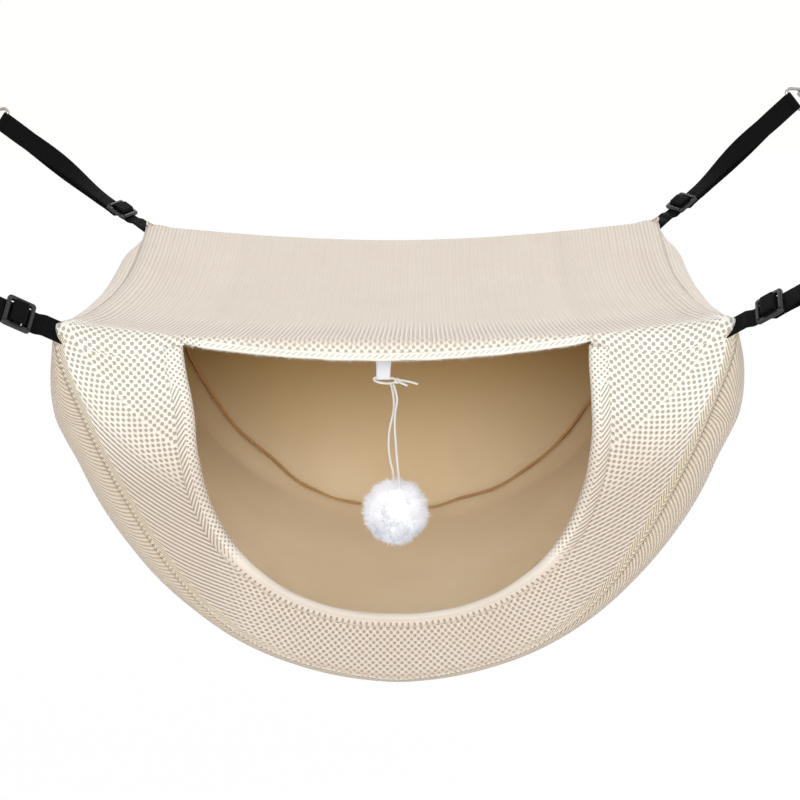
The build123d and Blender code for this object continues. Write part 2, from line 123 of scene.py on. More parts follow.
def gussetLine(turn, y, inset):
    # A point of the trough below the shoulders, at an angle from the left side round to the right
    angle = math.radians(turn)
    inside = (pouch["seamDepth"] - abs(y)) / pouch["bulgeRun"]
    swell = pouch["sideBulge"] - pouch["bulgeLoss"] * math.sin(angle) ** 3
    steep = abs(math.degrees(math.atan2(math.sin(angle), abs(math.cos(angle)))))
    swell += pouch["shoulderOut"] * (1 - smooth((steep - 13) / 9))
    end = seamWave(turn) if y < 0 else 0.982
    full = rounded(inside)
    across = mix(pouch["reach"] * end, pouch["reach"] + swell, full) - inset
    down = mix((pouch["drop"] - 1) * end, pouch["drop"] + swell, full) - inset
    return -across * math.cos(angle), -down * math.sin(angle)


def shoulderLine(side, y, inset, steps):
    # From the deck's side seam out over the shoulder and down to the trough
    start = pouch["shoulder"]
    turn = start if side < 0 else 180 - start
    step = 1 if side < 0 else -1
    footX, footZ = gussetLine(turn, y, inset)
    nextX, nextZ = gussetLine(turn + step, y, inset)
    away = Vector((footX - nextX, footZ - nextZ)).normalized()
    half, edge = deckEdge(y)
    inside = smooth((pouch["seamDepth"] - abs(y)) / 60)
    pullX, pullZ = cornerPull(side * pouch["halfWidth"], y)
    topX, topZ = side * (half - inset - 2.2) + pullX, edge - inset * 0.8 - 1.6 + pullZ
    outX = topX + side * mix(10, 17, inside)
    outZ = topZ + mix(-6, 9, inside)
    pulled = mix(16, 30, inside)
    kneeX, kneeZ = footX + away.x * pulled, footZ + away.y * pulled
    points = []
    for share in spread(0, 1, steps):
        rest = 1 - share
        weights = (rest ** 3, 3 * rest * rest * share, 3 * rest * share * share, share ** 3)
        points.append((
            weights[0] * topX + weights[1] * outX + weights[2] * kneeX + weights[3] * footX,
            weights[0] * topZ + weights[1] * outZ + weights[2] * kneeZ + weights[3] * footZ,
        ))
    return points


def troughLine(y, inset=0):
    # The whole U of the trough at a depth, from the left deck seam to the right one
    left, right = (shoulderLine(side, y, inset, pouch["shoulderSteps"]) for side in (-1, 1))
    start = pouch["shoulder"]
    under = [gussetLine(turn, y, inset) for turn in spread(start, 180 - start, pouch["underSteps"])]
    return left[:-1] + under + right[::-1][1:]


def runLengths(line):
    lengths = [0]
    for before, here in zip(line, line[1:]):
        lengths.append(lengths[-1] + math.dist(before, here))
    return lengths


def wayAlong(line, number):
    # The direction of a line of points at one of them
    before, after = line[max(0, number - 1)], line[min(len(line) - 1, number + 1)]
    return Vector((after[0] - before[0], after[1] - before[1])).normalized()


def rayMeets(origin, angle, line):
    # Where a ray in the X-Z plane first crosses a line of points, and how far along the line that is
    wayX, wayZ = math.cos(angle), math.sin(angle)
    lengths = runLengths(line)
    for number, (before, here) in enumerate(zip(line, line[1:])):
        first = (before[0] - origin[0]) * wayZ - (before[1] - origin[1]) * wayX
        last = (here[0] - origin[0]) * wayZ - (here[1] - origin[1]) * wayX
        if first * last <= 0 and first != last:
            share = first / (first - last)
            meetX, meetZ = mix(before[0], here[0], share), mix(before[1], here[1], share)
            if (meetX - origin[0]) * wayX + (meetZ - origin[1]) * wayZ > 0:
                return (meetX, meetZ), mix(lengths[number], lengths[number + 1], share)
    return line[0], 0


def openingRound(angle):
    # The round part of the opening, an angle of 180 degrees is its left side and 270 its foot
    power = 2 / opening["power"]
    across, down = math.cos(angle), math.sin(angle)
    x = opening["centreX"] + math.copysign(abs(across) ** power, across) * opening["half"]
    z = opening["centreZ"] + math.copysign(abs(down) ** power, down) * opening["rise"]
    return x, z


def openingLine(sideSteps, roundSteps):
    # Down the left side of the opening, round its foot and up the right side
    leftX, leftZ = opening["leftTop"]
    rightX, rightZ = opening["rightTop"]
    low = opening["centreX"] - opening["half"]
    high = opening["centreX"] + opening["half"]
    left = [(mix(leftX, low, smooth(share)), mix(leftZ, opening["centreZ"], share))
            for share in spread(0, 1, sideSteps)]
    under = [openingRound(math.pi * (1 + share)) for share in spread(0, 1, roundSteps)]
    right = [(mix(high, rightX, smooth(share)), mix(opening["centreZ"], rightZ, share))
             for share in spread(0, 1, sideSteps)]
    return left + under[1:-1] + right


# Mesh makers

def clearSelection():
    for thing in bpy.context.selected_objects:
        thing.select_set(False)


def makeActive(piece):
    clearSelection()
    piece.select_set(True)
    bpy.context.view_layer.objects.active = piece


def applyModifier(piece, kind, **settings):
    makeActive(piece)
    modifier = piece.modifiers.new(kind.title(), kind)
    for key, value in settings.items():
        setattr(modifier, key, value)
    bpy.ops.object.modifier_apply(modifier=modifier.name)


def sewPatches(name, patches, wall=0, weld=0.25):
    # One sheet from grids of points; a patch is its rows, its pattern maps and whether it is turned over
    sheet = bmesh.new()
    mapNames = sorted(patches[0]["maps"])
    layers = {key: sheet.loops.layers.uv.new(key) for key in mapNames}
    for patch in patches:
        rows = patch["rows"]
        grid = [[sheet.verts.new(Vector(point) * mm) for point in row] for row in rows]
        for r in range(len(rows) - 1):
            for c in range(len(rows[0]) - 1):
                corners = [(r, c), (r, c + 1), (r + 1, c + 1), (r + 1, c)]
                if patch.get("turned"):
                    corners.reverse()
                face = sheet.faces.new([grid[row][column] for row, column in corners])
                face.smooth = True
                for loop, (row, column) in zip(face.loops, corners):
                    for key in mapNames:
                        loop[layers[key]].uv = patch["maps"][key][row][column]
    bmesh.ops.remove_doubles(sheet, verts=sheet.verts, dist=weld * mm)
    bmesh.ops.dissolve_degenerate(sheet, edges=sheet.edges, dist=0.01 * mm)
    return meshPiece(name, sheet, wall)


def meshPiece(name, sheet, wall=0):
    mesh = bpy.data.meshes.new(name)
    sheet.to_mesh(mesh)
    sheet.free()
    piece = bpy.data.objects.new(name, mesh)
    bpy.context.scene.collection.objects.link(piece)
    if wall:
        applyModifier(piece, "SOLIDIFY", thickness=wall * mm, offset=-1, use_even_offset=False)
        closed = bmesh.new()
        closed.from_mesh(piece.data)
        bmesh.ops.recalc_face_normals(closed, faces=closed.faces)
        closed.to_mesh(piece.data)
        closed.free()
    return piece


def gridMap(rows, measure):
    return [[measure(point) for point in row] for row in rows]


def flatMap(rows, axis):
    # A pattern map by the places across and along another axis
    return gridMap(rows, lambda point: (point[0], point[axis]))


def addHair(sheet, rings):
    # A thin closed spike through rings of three places
    rings = [[sheet.verts.new(spot) for spot in ring] for ring in rings]
    for lower, upper in zip(rings, rings[1:]):
        for corner in range(3):
            after = (corner + 1) % 3
            sheet.faces.new((lower[corner], lower[after], upper[after], upper[corner]))
    sheet.faces.new(rings[0][::-1])
    sheet.faces.new(rings[-1])


def dress(piece, material, body=None):
    piece.data.materials.clear()
    piece.data.materials.append(material)
    if body:
        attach(piece, body)
    return piece


def flatSize(rows):
    # The longest way across and along a grid of cloth, in metres
    across = max(runLengths(row)[-1] for row in rows)
    along = max(runLengths(column)[-1] for column in zip(*rows))
    return across * mm, along * mm


def uprightSize(rows):
    # Width and height of a nearly flat upright piece, in metres
    sides = ([point[axis] for row in rows for point in row] for axis in (0, 2))
    width, height = ((max(values) - min(values)) * mm for values in sides)
    return width, height


# Materials

class Wire:
    # A shader socket that takes part in plain arithmetic
    def __init__(self, finish, socket):
        self.finish = finish
        self.socket = socket

    def maths(self, operation, *others):
        return self.finish.node(
            "ShaderNodeMath", {"operation": operation}, dict(enumerate((self,) + others))
        )

    def __add__(self, other):
        return self.maths("ADD", other)

    __radd__ = __add__

    def __mul__(self, other):
        return self.maths("MULTIPLY", other)

    __rmul__ = __mul__

    def __sub__(self, other):
        return self.maths("SUBTRACT", other)

    def __rsub__(self, other):
        return self.finish.node("ShaderNodeMath", {"operation": "SUBTRACT"}, {0: other, 1: self})

    def toward(self, other, share):
        # This pattern where the share is 0 and the other one where it is 1
        return self * (1 - share) + other * share

    def near(self, place, low, high):
        # 1 at a place and 0 away from it
        return 1 - (self - place).size().step(low, high)

    def cosine(self):
        return self.maths("COSINE")

    def size(self):
        return self.maths("ABSOLUTE")

    def root(self):
        return self.maths("SQRT")

    def step(self, low, high):
        # 0 below low and 1 above high, with a soft change between them
        return self.finish.node(
            "ShaderNodeMapRange", {"interpolation_type": "SMOOTHSTEP"},
            {"Value": self, "From Min": low, "From Max": high},
        )


def paint(red, green, blue):
    # A colour as a screen shows it, 0 to 255, in the renderer's own light
    shares = [value / 255 for value in (red, green, blue)]
    return tuple(s / 12.92 if s <= 0.04045 else ((s + 0.055) / 1.055) ** 2.4 for s in shares) + (1,)


class Finish:
    # A material, or the studio's world, and the nodes in it
    def __init__(self, name, store=bpy.data.materials):
        self.material = store.new(name)
        self.material.use_nodes = True
        self.tree = self.material.node_tree
        self.tree.nodes.clear()

    def node(self, kind, settings=None, inputs=None, output=0):
        made = self.tree.nodes.new(kind)
        for key, value in (settings or {}).items():
            setattr(made, key, value)
        for key, value in (inputs or {}).items():
            if isinstance(value, Wire):
                self.tree.links.new(value.socket, made.inputs[key])
            else:
                made.inputs[key].default_value = value
        return Wire(self, made.outputs[output]) if len(made.outputs) else None

    def parts(self, vector):
        split = self.node("ShaderNodeSeparateXYZ", None, {0: vector}).socket.node
        return [Wire(self, socket) for socket in split.outputs]

    def places(self):
        # Where a point of the piece is, in millimetres
        spot = self.node("ShaderNodeTexCoord", output="Object")
        scaled = self.node("ShaderNodeVectorMath", {"operation": "SCALE"}, {0: spot, "Scale": 1 / mm})
        return self.parts(scaled)

    def map(self, name):
        return self.parts(self.node("ShaderNodeUVMap", {"uv_map": name}))[:2]

    def cloud(self, scale, detail=2.0, roughness=0.5):
        # Even noise through the piece, with scale in patches per millimetre
        spot = self.node("ShaderNodeTexCoord", output="Object")
        return self.node(
            "ShaderNodeTexNoise", None,
            {"Vector": spot, "Scale": scale / mm, "Detail": detail, "Roughness": roughness},
        )

    def between(self, share, first, last):
        return self.node("ShaderNodeMix", {"data_type": "RGBA"}, {0: share, 6: first, 7: last}, 2)

    def bump(self, height, depth):
        inputs = {"Strength": 1.0, "Distance": depth * mm, "Height": height}
        return self.node("ShaderNodeBump", None, inputs)

    def shine(self, colour, roughness, normal=None, others=None):
        inputs = {"Base Color": colour, "Roughness": roughness, **(others or {})}
        if normal:
            inputs["Normal"] = normal
        shader = self.node("ShaderNodeBsdfPrincipled", None, inputs)
        self.node("ShaderNodeOutputMaterial", None, {"Surface": shader})
        return self.material


spacer = {
    "across": 4.75, "footAcross": 4.4, "sideAcross": 6.4, "down": 2.35, "cheekDown": 2.6, "stroke": 3.4,
    "ribs": 2.8, "ringFoot": 93, "ringReach": 300,
    # The thread colours upper and lower are one thread, lit near the deck and in painted shade lower down
    "upper": paint(241, 236, 225), "lower": paint(214, 200, 184), "rim": paint(200, 180, 158),
    # The hole colours are painted shade inside the holes of the mesh, darker lower down
    "deck": paint(227, 214, 199), "holeShade": paint(170, 163, 148), "lowHoleShade": paint(158, 140, 123),
    "deckHoleShade": paint(200, 185, 169), "gussetShadedLow": paint(202, 188, 172), "gussetLitHigh": paint(206, 193, 177),
    "seamBeige": paint(220, 204, 174), "seamTan": paint(186, 163, 128),
}


def wave(value, pitch):
    return (value * (2 * math.pi / pitch)).cosine()


def lattice(along, across, pitch=spacer["across"], down=spacer["down"]):
    # Offset rows of holes
    return wave(along, pitch) * wave(across, 2 * down)


def meshPaintedShade(cloth, z):
    # Threads and hollows of the upright cloth, painted paler towards the deck and darker lower down: painted
    # shade on the lower front
    # Painted shade: the colour darkens lower down, where less light falls
    rise = z.step(-108, -30)
    threads = cloth.between(rise, spacer["lower"], spacer["upper"])
    return threads, cloth.between(rise, spacer["lowHoleShade"], spacer["holeShade"])


def finishMesh(cloth, pattern, threads, hollow, depth=0.8, start=-0.1):
    # Knitted spacer mesh: threads proud of the holes between them; the holes take the darker hollow colour,
    # painted shade inside them
    mask = pattern.step(start, 0.7)
    fuzz = cloth.cloud(1.4, 3)
    tone = cloth.cloud(0.03, 2)
    colour = cloth.between(mask * (0.78 + 0.3 * fuzz), threads, hollow)
    colour = cloth.between((tone - 0.5) * 0.35 + 0.06, colour, spacer["rim"])
    height = 1 - mask + 0.3 * fuzz
    sheen = {"Sheen Weight": 0.25, "Sheen Roughness": 0.5}
    return cloth.shine(colour, 0.85 + 0.1 * mask, cloth.bump(height, depth), sheen)


def shellMesh():
    # Deck and front in one: ribs on the deck, holes on the roll and cheeks, arcs of holes round the opening
    cloth = Finish("shellMesh")
    x, y, z = cloth.places()
    alongU, alongV = cloth.map("weave")
    seamS, seamD = cloth.map("seam")
    lift = spacer["ringFoot"] - z
    ring = (x * x + lift * lift).root()
    turn = cloth.node("ShaderNodeMath", {"operation": "ARCTAN2"}, {0: x, 1: lift}) * spacer["ringReach"]
    reach = x.size()
    cheeks = 1 - ring.step(210, 216)
    slanted = reach.step(60, 130) * (1 - 0.25 * x.step(-20, 20)) * ring.step(212, 244)
    far = reach.step(95, 125)
    arcs = lattice(turn, ring, spacer["footAcross"]).toward(lattice(turn, ring, spacer["sideAcross"]), far)
    lower = arcs.toward(wave(ring, spacer["down"]) * 0.9, slanted)
    cheekHoles = lattice(alongU, alongV, down=spacer["cheekDown"])
    front = lower.toward(cheekHoles, cheeks)
    # The deck: ribs that fade towards the middle, and holes again where it rolls over
    back = y - 20 * reach.step(110, 190)
    top = back.step(-157, -149)
    calm = y.step(-125, -55) * (1 - 0.4 * reach.step(110, 195))
    twill = wave(alongU * 0.5 + alongV, 2.6) * 0.2 + wave(alongU, 1.9) * 0.05
    ribs = wave(alongU, spacer["ribs"]) * (0.5 - 0.46 * calm) + twill * calm + 0.12
    ribbed = back.step(-150, -118)
    deck = (cheekHoles * 0.35 + ribs * 0.8).toward(ribs, ribbed)
    pattern = front.toward(deck, top)
    # The sewn edge: slanting strokes, and at the foot one row of loops
    foot = 1 - z.step(-222, -200)
    upright = 1 - top
    column = (1 - seamD.step(6.5, 9)) * upright * (1 - foot)
    strokes = wave(seamS - 2.15 * seamD, spacer["stroke"]) * 0.62
    pattern = pattern.toward(strokes, column)
    band = (1 - seamD.step(3, 4)) * upright
    valley = wave(seamS + 0.58 * seamD, spacer["stroke"]) * (0.6 + 0.3 * foot)
    pattern = pattern.toward(valley, band)
    threads, hollow = meshPaintedShade(cloth, z)
    threads = cloth.between(top, threads, spacer["deck"])
    hollow = cloth.between(top, hollow, spacer["deckHoleShade"])
    sewn = (1 - seamD.step(5, 10)) * upright * (1 - foot) * 0.7
    threads = cloth.between(sewn, threads, spacer["seamBeige"])
    hollow = cloth.between(sewn, hollow, spacer["seamTan"])
    # Painted shadow: a darker line in the rim colour beside the foot seam's row of loops
    footShadowLine = seamD.near(5.5, 0.5, 2.8) * foot * 0.7
    threads = cloth.between(footShadowLine, threads, spacer["rim"])
    # The row of loops is the seam's own; its paler, lit thread colour is a painted highlight along the bottom
    # edge
    loops = (1 - seamD.step(2.4, 3.6)) * foot * 0.8
    threads = cloth.between(loops, threads, spacer["upper"])
    return finishMesh(cloth, pattern, threads, hollow)


def gussetMesh():
    cloth = Finish("gussetMesh")
    y, z = cloth.places()[1:]
    seamS, seamD = cloth.map("seam")
    near = 1 - seamD.step(10, 17)
    body = lattice(seamS, seamD, 3.6, 1.9) * 0.8
    strokes = wave(seamS + 2.15 * seamD, spacer["stroke"]) * 0.45
    pattern = body.toward(strokes, near)
    # Over the shoulder it looks as the deck does
    shoulder = z.step(-46, -16) * (1 - y.size().step(118, 140))
    ribs = wave(seamS, spacer["ribs"]) * 0.22 + 0.1
    pattern = pattern.toward(ribs, shoulder)
    # Painted shade: the gusset's threads are darker lower down and lit higher up
    threads = cloth.between(z.step(-120, -35), spacer["gussetShadedLow"], spacer["gussetLitHigh"])
    threads = cloth.between(shoulder, threads, spacer["deck"])
    hollow = cloth.between(shoulder, spacer["lowHoleShade"], spacer["deckHoleShade"])
    sewn = (1 - seamD.step(9, 14)) * 0.3
    threads = cloth.between(sewn, threads, spacer["seamBeige"])
    return finishMesh(cloth, pattern, threads, hollow, 0.7)


def backMesh():
    cloth = Finish("backMesh")
    x, z = cloth.places()[::2]
    # Painted shade: the back's threads are darker lower down and lit higher up
    threads = cloth.between(z.step(-190, -20), spacer["gussetShadedLow"], spacer["gussetLitHigh"])
    return finishMesh(cloth, lattice(x, z, down=spacer["cheekDown"]), threads, spacer["lowHoleShade"])


def bindingMesh():
    # Folded mesh along the opening: slanting strokes beside a stitched line, holes along its rim
    cloth = Finish("bindingMesh")
    runS, runD = cloth.map("seam")
    x, z = cloth.places()[::2]
    strokes = wave(runS + 1.6 * runD, 3.6) * 0.8
    holes = lattice(runS, runD, 3.7, 1.7) * 0.85
    reach = x.size()
    lip = z.step(-60, -45) * (1 - reach.step(112, 115))
    rim = (runD.step(5.5, 7) + z.step(-40, -28)).maths("MINIMUM", 1)
    pattern = strokes.toward(holes, rim)
    # The foot has one row of holes below a plain edge, the lip one row of slanting stitches
    foot = 1 - z.step(-165, -130)
    footRow = wave(runS, 3.7) * runD.near(3.2, 0.6, 1.6) * 1.2 - 0.3
    lipRow = wave(x + 1.4 * runD, 3.7) * runD.near(2.4, 0.8, 1.8) * 0.8 - 0.3
    pattern = pattern.toward(footRow, foot).toward(lipRow, lip)
    threads, hollow = meshPaintedShade(cloth, z)
    # Painted highlight: a pale line along the binding's outer edge low round the opening
    edge = runD.near(8.5, 1.5, 3.5) * (1 - z.step(-150, -90)) * 0.5
    threads = cloth.between(edge, threads, spacer["upper"])
    return finishMesh(cloth, pattern, threads, hollow, 0.6, 0.05)


def liningCloth():
    cloth = Finish("liningCloth")
    x, y, z = cloth.places()
    grain = cloth.cloud(2.2, 2)
    stain = cloth.cloud(0.012, 3)
    # Painted shade: the lining darkens and browns towards the top, where the deck shades the inside
    top = z.step(-225, -60)
    shade = cloth.between(top, paint(240, 221, 188), paint(172, 137, 70))
    shade = cloth.between((stain - 0.35) * 0.8, shade, paint(206, 180, 130))
    weave = wave(x + z * 0.15, 0.9) * 0.5 + wave(z + y, 0.9) * 0.5
    shade = cloth.between(0.05 + 0.05 * weave, shade, paint(120, 96, 60))
    return cloth.shine(shade, 0.88, cloth.bump(weave * 0.3 + grain * 0.6, 0.25), {"Sheen Weight": 0.15})


def seamCloth():
    cloth = Finish("seamCloth")
    runS, runD = cloth.map("seam")
    shadeWander = cloth.cloud(0.08, 3)
    # Painted shade: a dark brown line in the groove between the two rolls and on their outer sides, uneven
    # along the seam; the lighter brown is the cloth's own
    line = wave(runD, 9.6).step(-0.1, 0.8) * (0.45 + 0.9 * shadeWander)
    shade = cloth.between(line, paint(200, 156, 98), paint(136, 84, 38))
    return cloth.shine(shade, 0.8, cloth.bump(wave(runS, 2.2), 0.2))


def ribbonCloth():
    cloth = Finish("ribbonCloth")
    x, z = cloth.places()[::2]
    rib = wave(z, 0.7)
    # Painted shade: the ribbon is bluer and darker towards its edges; the ribs are its weave
    edge = (x + 6).size().step(4.0, 4.8)
    shade = cloth.between(0.35 * edge + 0.06 * rib, paint(232, 233, 237), paint(204, 208, 218))
    return cloth.shine(shade, 0.6, cloth.bump(rib + edge, 0.12), {"Sheen Weight": 0.2})


def stringCloth():
    cloth = Finish("stringCloth")
    x, y, z = cloth.places()
    twist = wave(z + x * 0.9 + y * 0.5, 1.1)
    shade = cloth.between(0.12 + 0.12 * twist, paint(244, 243, 240), paint(196, 192, 186))
    return cloth.shine(shade, 0.75, cloth.bump(twist, 0.2))


def furHair():
    hair = Finish("furHair")
    patch = hair.cloud(0.35, 2)
    z = hair.places()[2]
    # Painted shade: the fur is greyer and bluer underneath and in scattered patches
    under = (1 - z.step(-134, -116)) * (0.35 + 0.65 * patch.step(0.4, 0.65))
    shadow = under * 0.85 + patch.step(0.5, 0.7) * 0.16
    shade = hair.between(shadow, paint(252, 252, 254), paint(212, 214, 226))
    # Painted light: the fur glows faintly, standing in for light scattered through the hairs
    glow = {"Sheen Weight": 0.4, "Emission Color": shade, "Emission Strength": 0.065}
    return hair.shine(shade, 0.7, None, glow)


def webbingCloth():
    cloth = Finish("webbingCloth")
    runS, runD = cloth.map("strip")
    picks = wave(runS, 1.3)
    cords = wave(runD, 1.5)
    fuzz = cloth.cloud(1.5, 2)
    shade = cloth.between(0.3 * picks.step(0, 1) + 0.3 * fuzz, paint(3, 3, 4), paint(17, 16, 19))
    height = picks * 0.6 + cords * 0.35 + fuzz * 0.3
    return cloth.shine(shade, 0.8, cloth.bump(height, 0.28), {"Specular IOR Level": 0.1})


def glidePlastic():
    plastic = Finish("glidePlastic")
    speck = plastic.cloud(0.9, 3)
    scuff = plastic.cloud(0.12, 4, 0.7)
    shade = plastic.between(scuff.step(0.55, 0.8) * 0.35, paint(10, 10, 11), paint(34, 34, 36))
    return plastic.shine(shade, 0.3 + 0.25 * scuff, plastic.bump(speck, 0.05), {"Coat Weight": 0.1})


def platedMetal(name, shade, low):
    metal = Finish(name)
    smear = metal.cloud(0.25, 3)
    tone = metal.between(smear * 0.3, shade, paint(150, 148, 146))
    return metal.shine(tone, low + 0.16 * smear, metal.bump(metal.cloud(1.2, 2), 0.02), {"Metallic": 1.0})


finishes = {
    "shell": shellMesh(), "gusset": gussetMesh(), "back": backMesh(), "binding": bindingMesh(),
    "lining": liningCloth(), "seam": seamCloth(), "ribbon": ribbonCloth(), "string": stringCloth(),
    "fur": furHair(), "webbing": webbingCloth(), "glide": glidePlastic(),
    "metal": platedMetal("nickelPlate", paint(168, 161, 154), 0.2),
    "spring": platedMetal("springSteel", paint(205, 206, 208), 0.3),
}
print("materials made:", len(finishes))


# Pouch: the deck and the front in one sheet

shell = {
    "deckRows": 78, "rollSteps": 8, "cheekColumns": 22, "lipColumns": 64, "sideRows": 12, "roundRows": 150,
    "rise": 7.5, "riseRun": 14, "hemFall": 3.2, "hemRun": 12, "cheekRoll": 13, "lipRoll": 10.6,
    "cornerRoll": 4, "mouthRoll": 3.8, "backRoll": 3.4,
}
frontLine = troughLine(-pouch["seamDepth"])
mouthHalf = (opening["rightTop"][0] - opening["leftTop"][0]) / 2
mouthMiddle = (opening["rightTop"][0] + opening["leftTop"][0]) / 2


def faceDepth(fromSeam, fromMouth):
    full = rounded(fromSeam / shell["riseRun"])
    fall = shell["hemFall"] * (1 - smooth(fromMouth / shell["hemRun"]))
    return -pouch["seamDepth"] - shell["rise"] * full + fall * full


def rollAt(x):
    # Radius of the roll between the deck and the front
    beside = abs(x - mouthMiddle) / mouthHalf
    if beside < 1:
        return mix(shell["lipRoll"], shell["mouthRoll"], beside ** 2)
    out = (abs(x) - mouthHalf) / (pouch["halfWidth"] - mouthHalf)
    base = mix(shell["mouthRoll"], shell["cornerRoll"], out)
    return base + (shell["cheekRoll"] - shell["mouthRoll"]) * math.sin(math.pi * min(1, max(0, out)))


def frontFace(x):
    beside = abs(x - mouthMiddle) - mouthHalf
    if beside < 0:
        return faceDepth(shell["riseRun"], min(shell["hemRun"], -beside))
    return faceDepth(pouch["halfWidth"] - abs(x), beside)


def rollPoint(x, turn):
    # Turn 0 is the deck and 90 the front
    radius = rollAt(x)
    face = frontFace(x)
    angle = math.radians(turn)
    y = face + radius - radius * math.sin(angle)
    pullX, pullZ = cornerPull(x, y)
    top = deckHeight(x, face + radius) + pullZ
    return x + pullX, y, top - radius + radius * math.cos(angle)


leftX, rightX = opening["leftTop"][0], opening["rightTop"][0]
cheekShares = spread(0, 1, shell["cheekColumns"])
columns = [mix(-pouch["halfWidth"], leftX, share) for share in cheekShares]
columns += spread(leftX, rightX, shell["lipColumns"])[1:-1]
columns += [mix(rightX, pouch["halfWidth"], share) for share in cheekShares]


def deckRow(share):
    row = []
    for x in columns:
        start = frontFace(x) + rollAt(x)
        y = mix(pouch["halfDepth"] + 1.5, start, share)
        half = deckEdge(y)[0] / pouch["halfWidth"]
        pullX, pullZ = cornerPull(x, y)
        place = (x * half + pullX, y, deckHeight(x * half, y) + pullZ)
        soft = min(1, (pouch["halfWidth"] - abs(x)) / 20) * min(1, (pouch["halfDepth"] + 1.5 - y) / 20)
        row.append((place[0], place[1], place[2] + creased(place, pouch["crease"]) * soft * (1 - share ** 8)))
    return row


def backRollRow(turn):
    # Where the deck rolls over at the back
    out, down = math.sin(math.radians(turn)), 1 - math.cos(math.radians(turn))
    return [(x, y + shell["backRoll"] * out, z - shell["backRoll"] * down) for x, y, z in deckRow(0)]


backRoll = [backRollRow(turn) for turn in (80, 60, 40, 20)]
deckRows = backRoll + [deckRow(share) for share in spread(0, 1, shell["deckRows"])]
rollRows = [[rollPoint(x, turn) for x in columns] for turn in spread(0, 90, shell["rollSteps"])[1:]]
deckPatchRows = deckRows + rollRows


def rowMap(rows):
    # Across by the column and along by the distance walked from the front roll's foot
    walks = [runLengths(column) for column in zip(*rows[::-1])]
    return [list(zip(columns, row)) for row in zip(*walks)][::-1]


def seamMapOf(lengths, depths):
    return [[(length, depth) for depth in depthRow] for length, depthRow in zip(lengths, depths)]


def stripRow(outer, inner):
    row, depths = [], []
    width = math.dist(outer, inner)
    for across in cheekShares:
        x, z = mix(outer[0], inner[0], across), mix(outer[1], inner[1], across)
        y = faceDepth(width * across, width * (1 - across))
        row.append((x, y + creased((x, y, z), 0.7) * math.sin(math.pi * across), z))
        depths.append(width * across)
    return row, depths


def pointAlong(line, lengths, length):
    for number in range(len(line) - 1):
        if lengths[number + 1] >= length:
            share = (length - lengths[number]) / (lengths[number + 1] - lengths[number])
            return tuple(mix(first, last, share) for first, last in zip(line[number], line[number + 1]))
    return line[-1]


def cheekRows(first, startLength, endLength, inner):
    # From the foot of the roll down to the level of the opening's centre, along the seam
    rows, lengths, depths = [], [], []
    walked = runLengths(frontLine)
    corner, hem = (first[0][0], first[0][2]), (first[-1][0], first[-1][2])
    straight = stripRow(corner, hem)[0]
    for share in spread(0, 1, shell["sideRows"])[:-1]:
        length = mix(startLength, endLength, share)
        sewn = pointAlong(frontLine, walked, length)
        joined = min(1, share * 5)
        outer = (mix(corner[0], sewn[0], joined), mix(corner[1], sewn[1], joined))
        row, depth = stripRow(outer, (mix(hem[0], inner[0], smooth(share)), mix(hem[1], inner[1], share)))
        fade = 1 - smooth(share)
        rows.append([
            tuple(here + (arched - even) * fade for here, arched, even in zip(*places))
            for places in zip(row, first, straight)
        ])
        lengths.append(length)
        depths.append(depth)
    return rows, lengths, depths


def frontStrip():
    total = runLengths(frontLine)[-1]
    left = rollRows[-1][:shell["cheekColumns"] + 1]
    right = rollRows[-1][-shell["cheekColumns"] - 1:][::-1]
    centre = (opening["centreX"], opening["centreZ"])
    lowLength = rayMeets(centre, math.pi, frontLine)[1]
    highLength = rayMeets(centre, 0, frontLine)[1]
    rows, lengths, depths = cheekRows(left, 2.5, lowLength, openingRound(math.pi))
    for share in spread(0, 1, shell["roundRows"]):
        angle = math.pi * (1 + share)
        outer, length = rayMeets(centre, angle, frontLine)
        row, depth = stripRow(outer, whereOpening(angle))
        rows.append(row)
        lengths.append(length)
        depths.append(depth)
    others = cheekRows(right, total - 2.5, highLength, openingRound(0))
    for whole, part in zip((rows, lengths, depths), others):
        whole.extend(part[::-1])
    return rows, lengths, depths


mouthRound = [openingRound(math.pi * (1 + share)) for share in spread(0, 1, 400)]


def whereOpening(angle):
    # The opening's edge on a ray from its centre, which at the two ends is the edge's own end
    if angle < math.pi + 0.001:
        return mouthRound[0]
    if angle > 2 * math.pi - 0.001:
        return mouthRound[-1]
    return rayMeets((opening["centreX"], opening["centreZ"]), angle, mouthRound)[0]


def makeShell():
    stripRows, lengths, depths = frontStrip()
    deckMap = rowMap(deckPatchRows)
    patches = [{
        "rows": deckPatchRows, "turned": True,
        "maps": {"weave": deckMap, "seam": [[(0, 60) for x in columns] for row in deckPatchRows]},
    }, {
        "rows": stripRows, "turned": True,
        "maps": {
            "weave": gridMap(stripRows, lambda point: (point[0], rollPoint(point[0], 90)[2] - point[2])),
            "seam": seamMapOf(lengths, depths),
        },
    }]
    piece = sewPatches("pouch_shell", patches, pouch["wall"])
    dress(piece, finishes["shell"], "pouch")
    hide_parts("top_panel", "front_panel")
    deckWidth, deckLength = flatSize(deckPatchRows)
    frontWidth, frontHeight = uprightSize(stripRows)
    max(deckWidth, frontWidth)
    deckLength + frontHeight


# Pouch: the gusset, one strip from shoulder to shoulder under the whole pouch

gusset = {"steps": 66, "crease": 1.1, "creaseSize": 46, "creaseRun": 16}


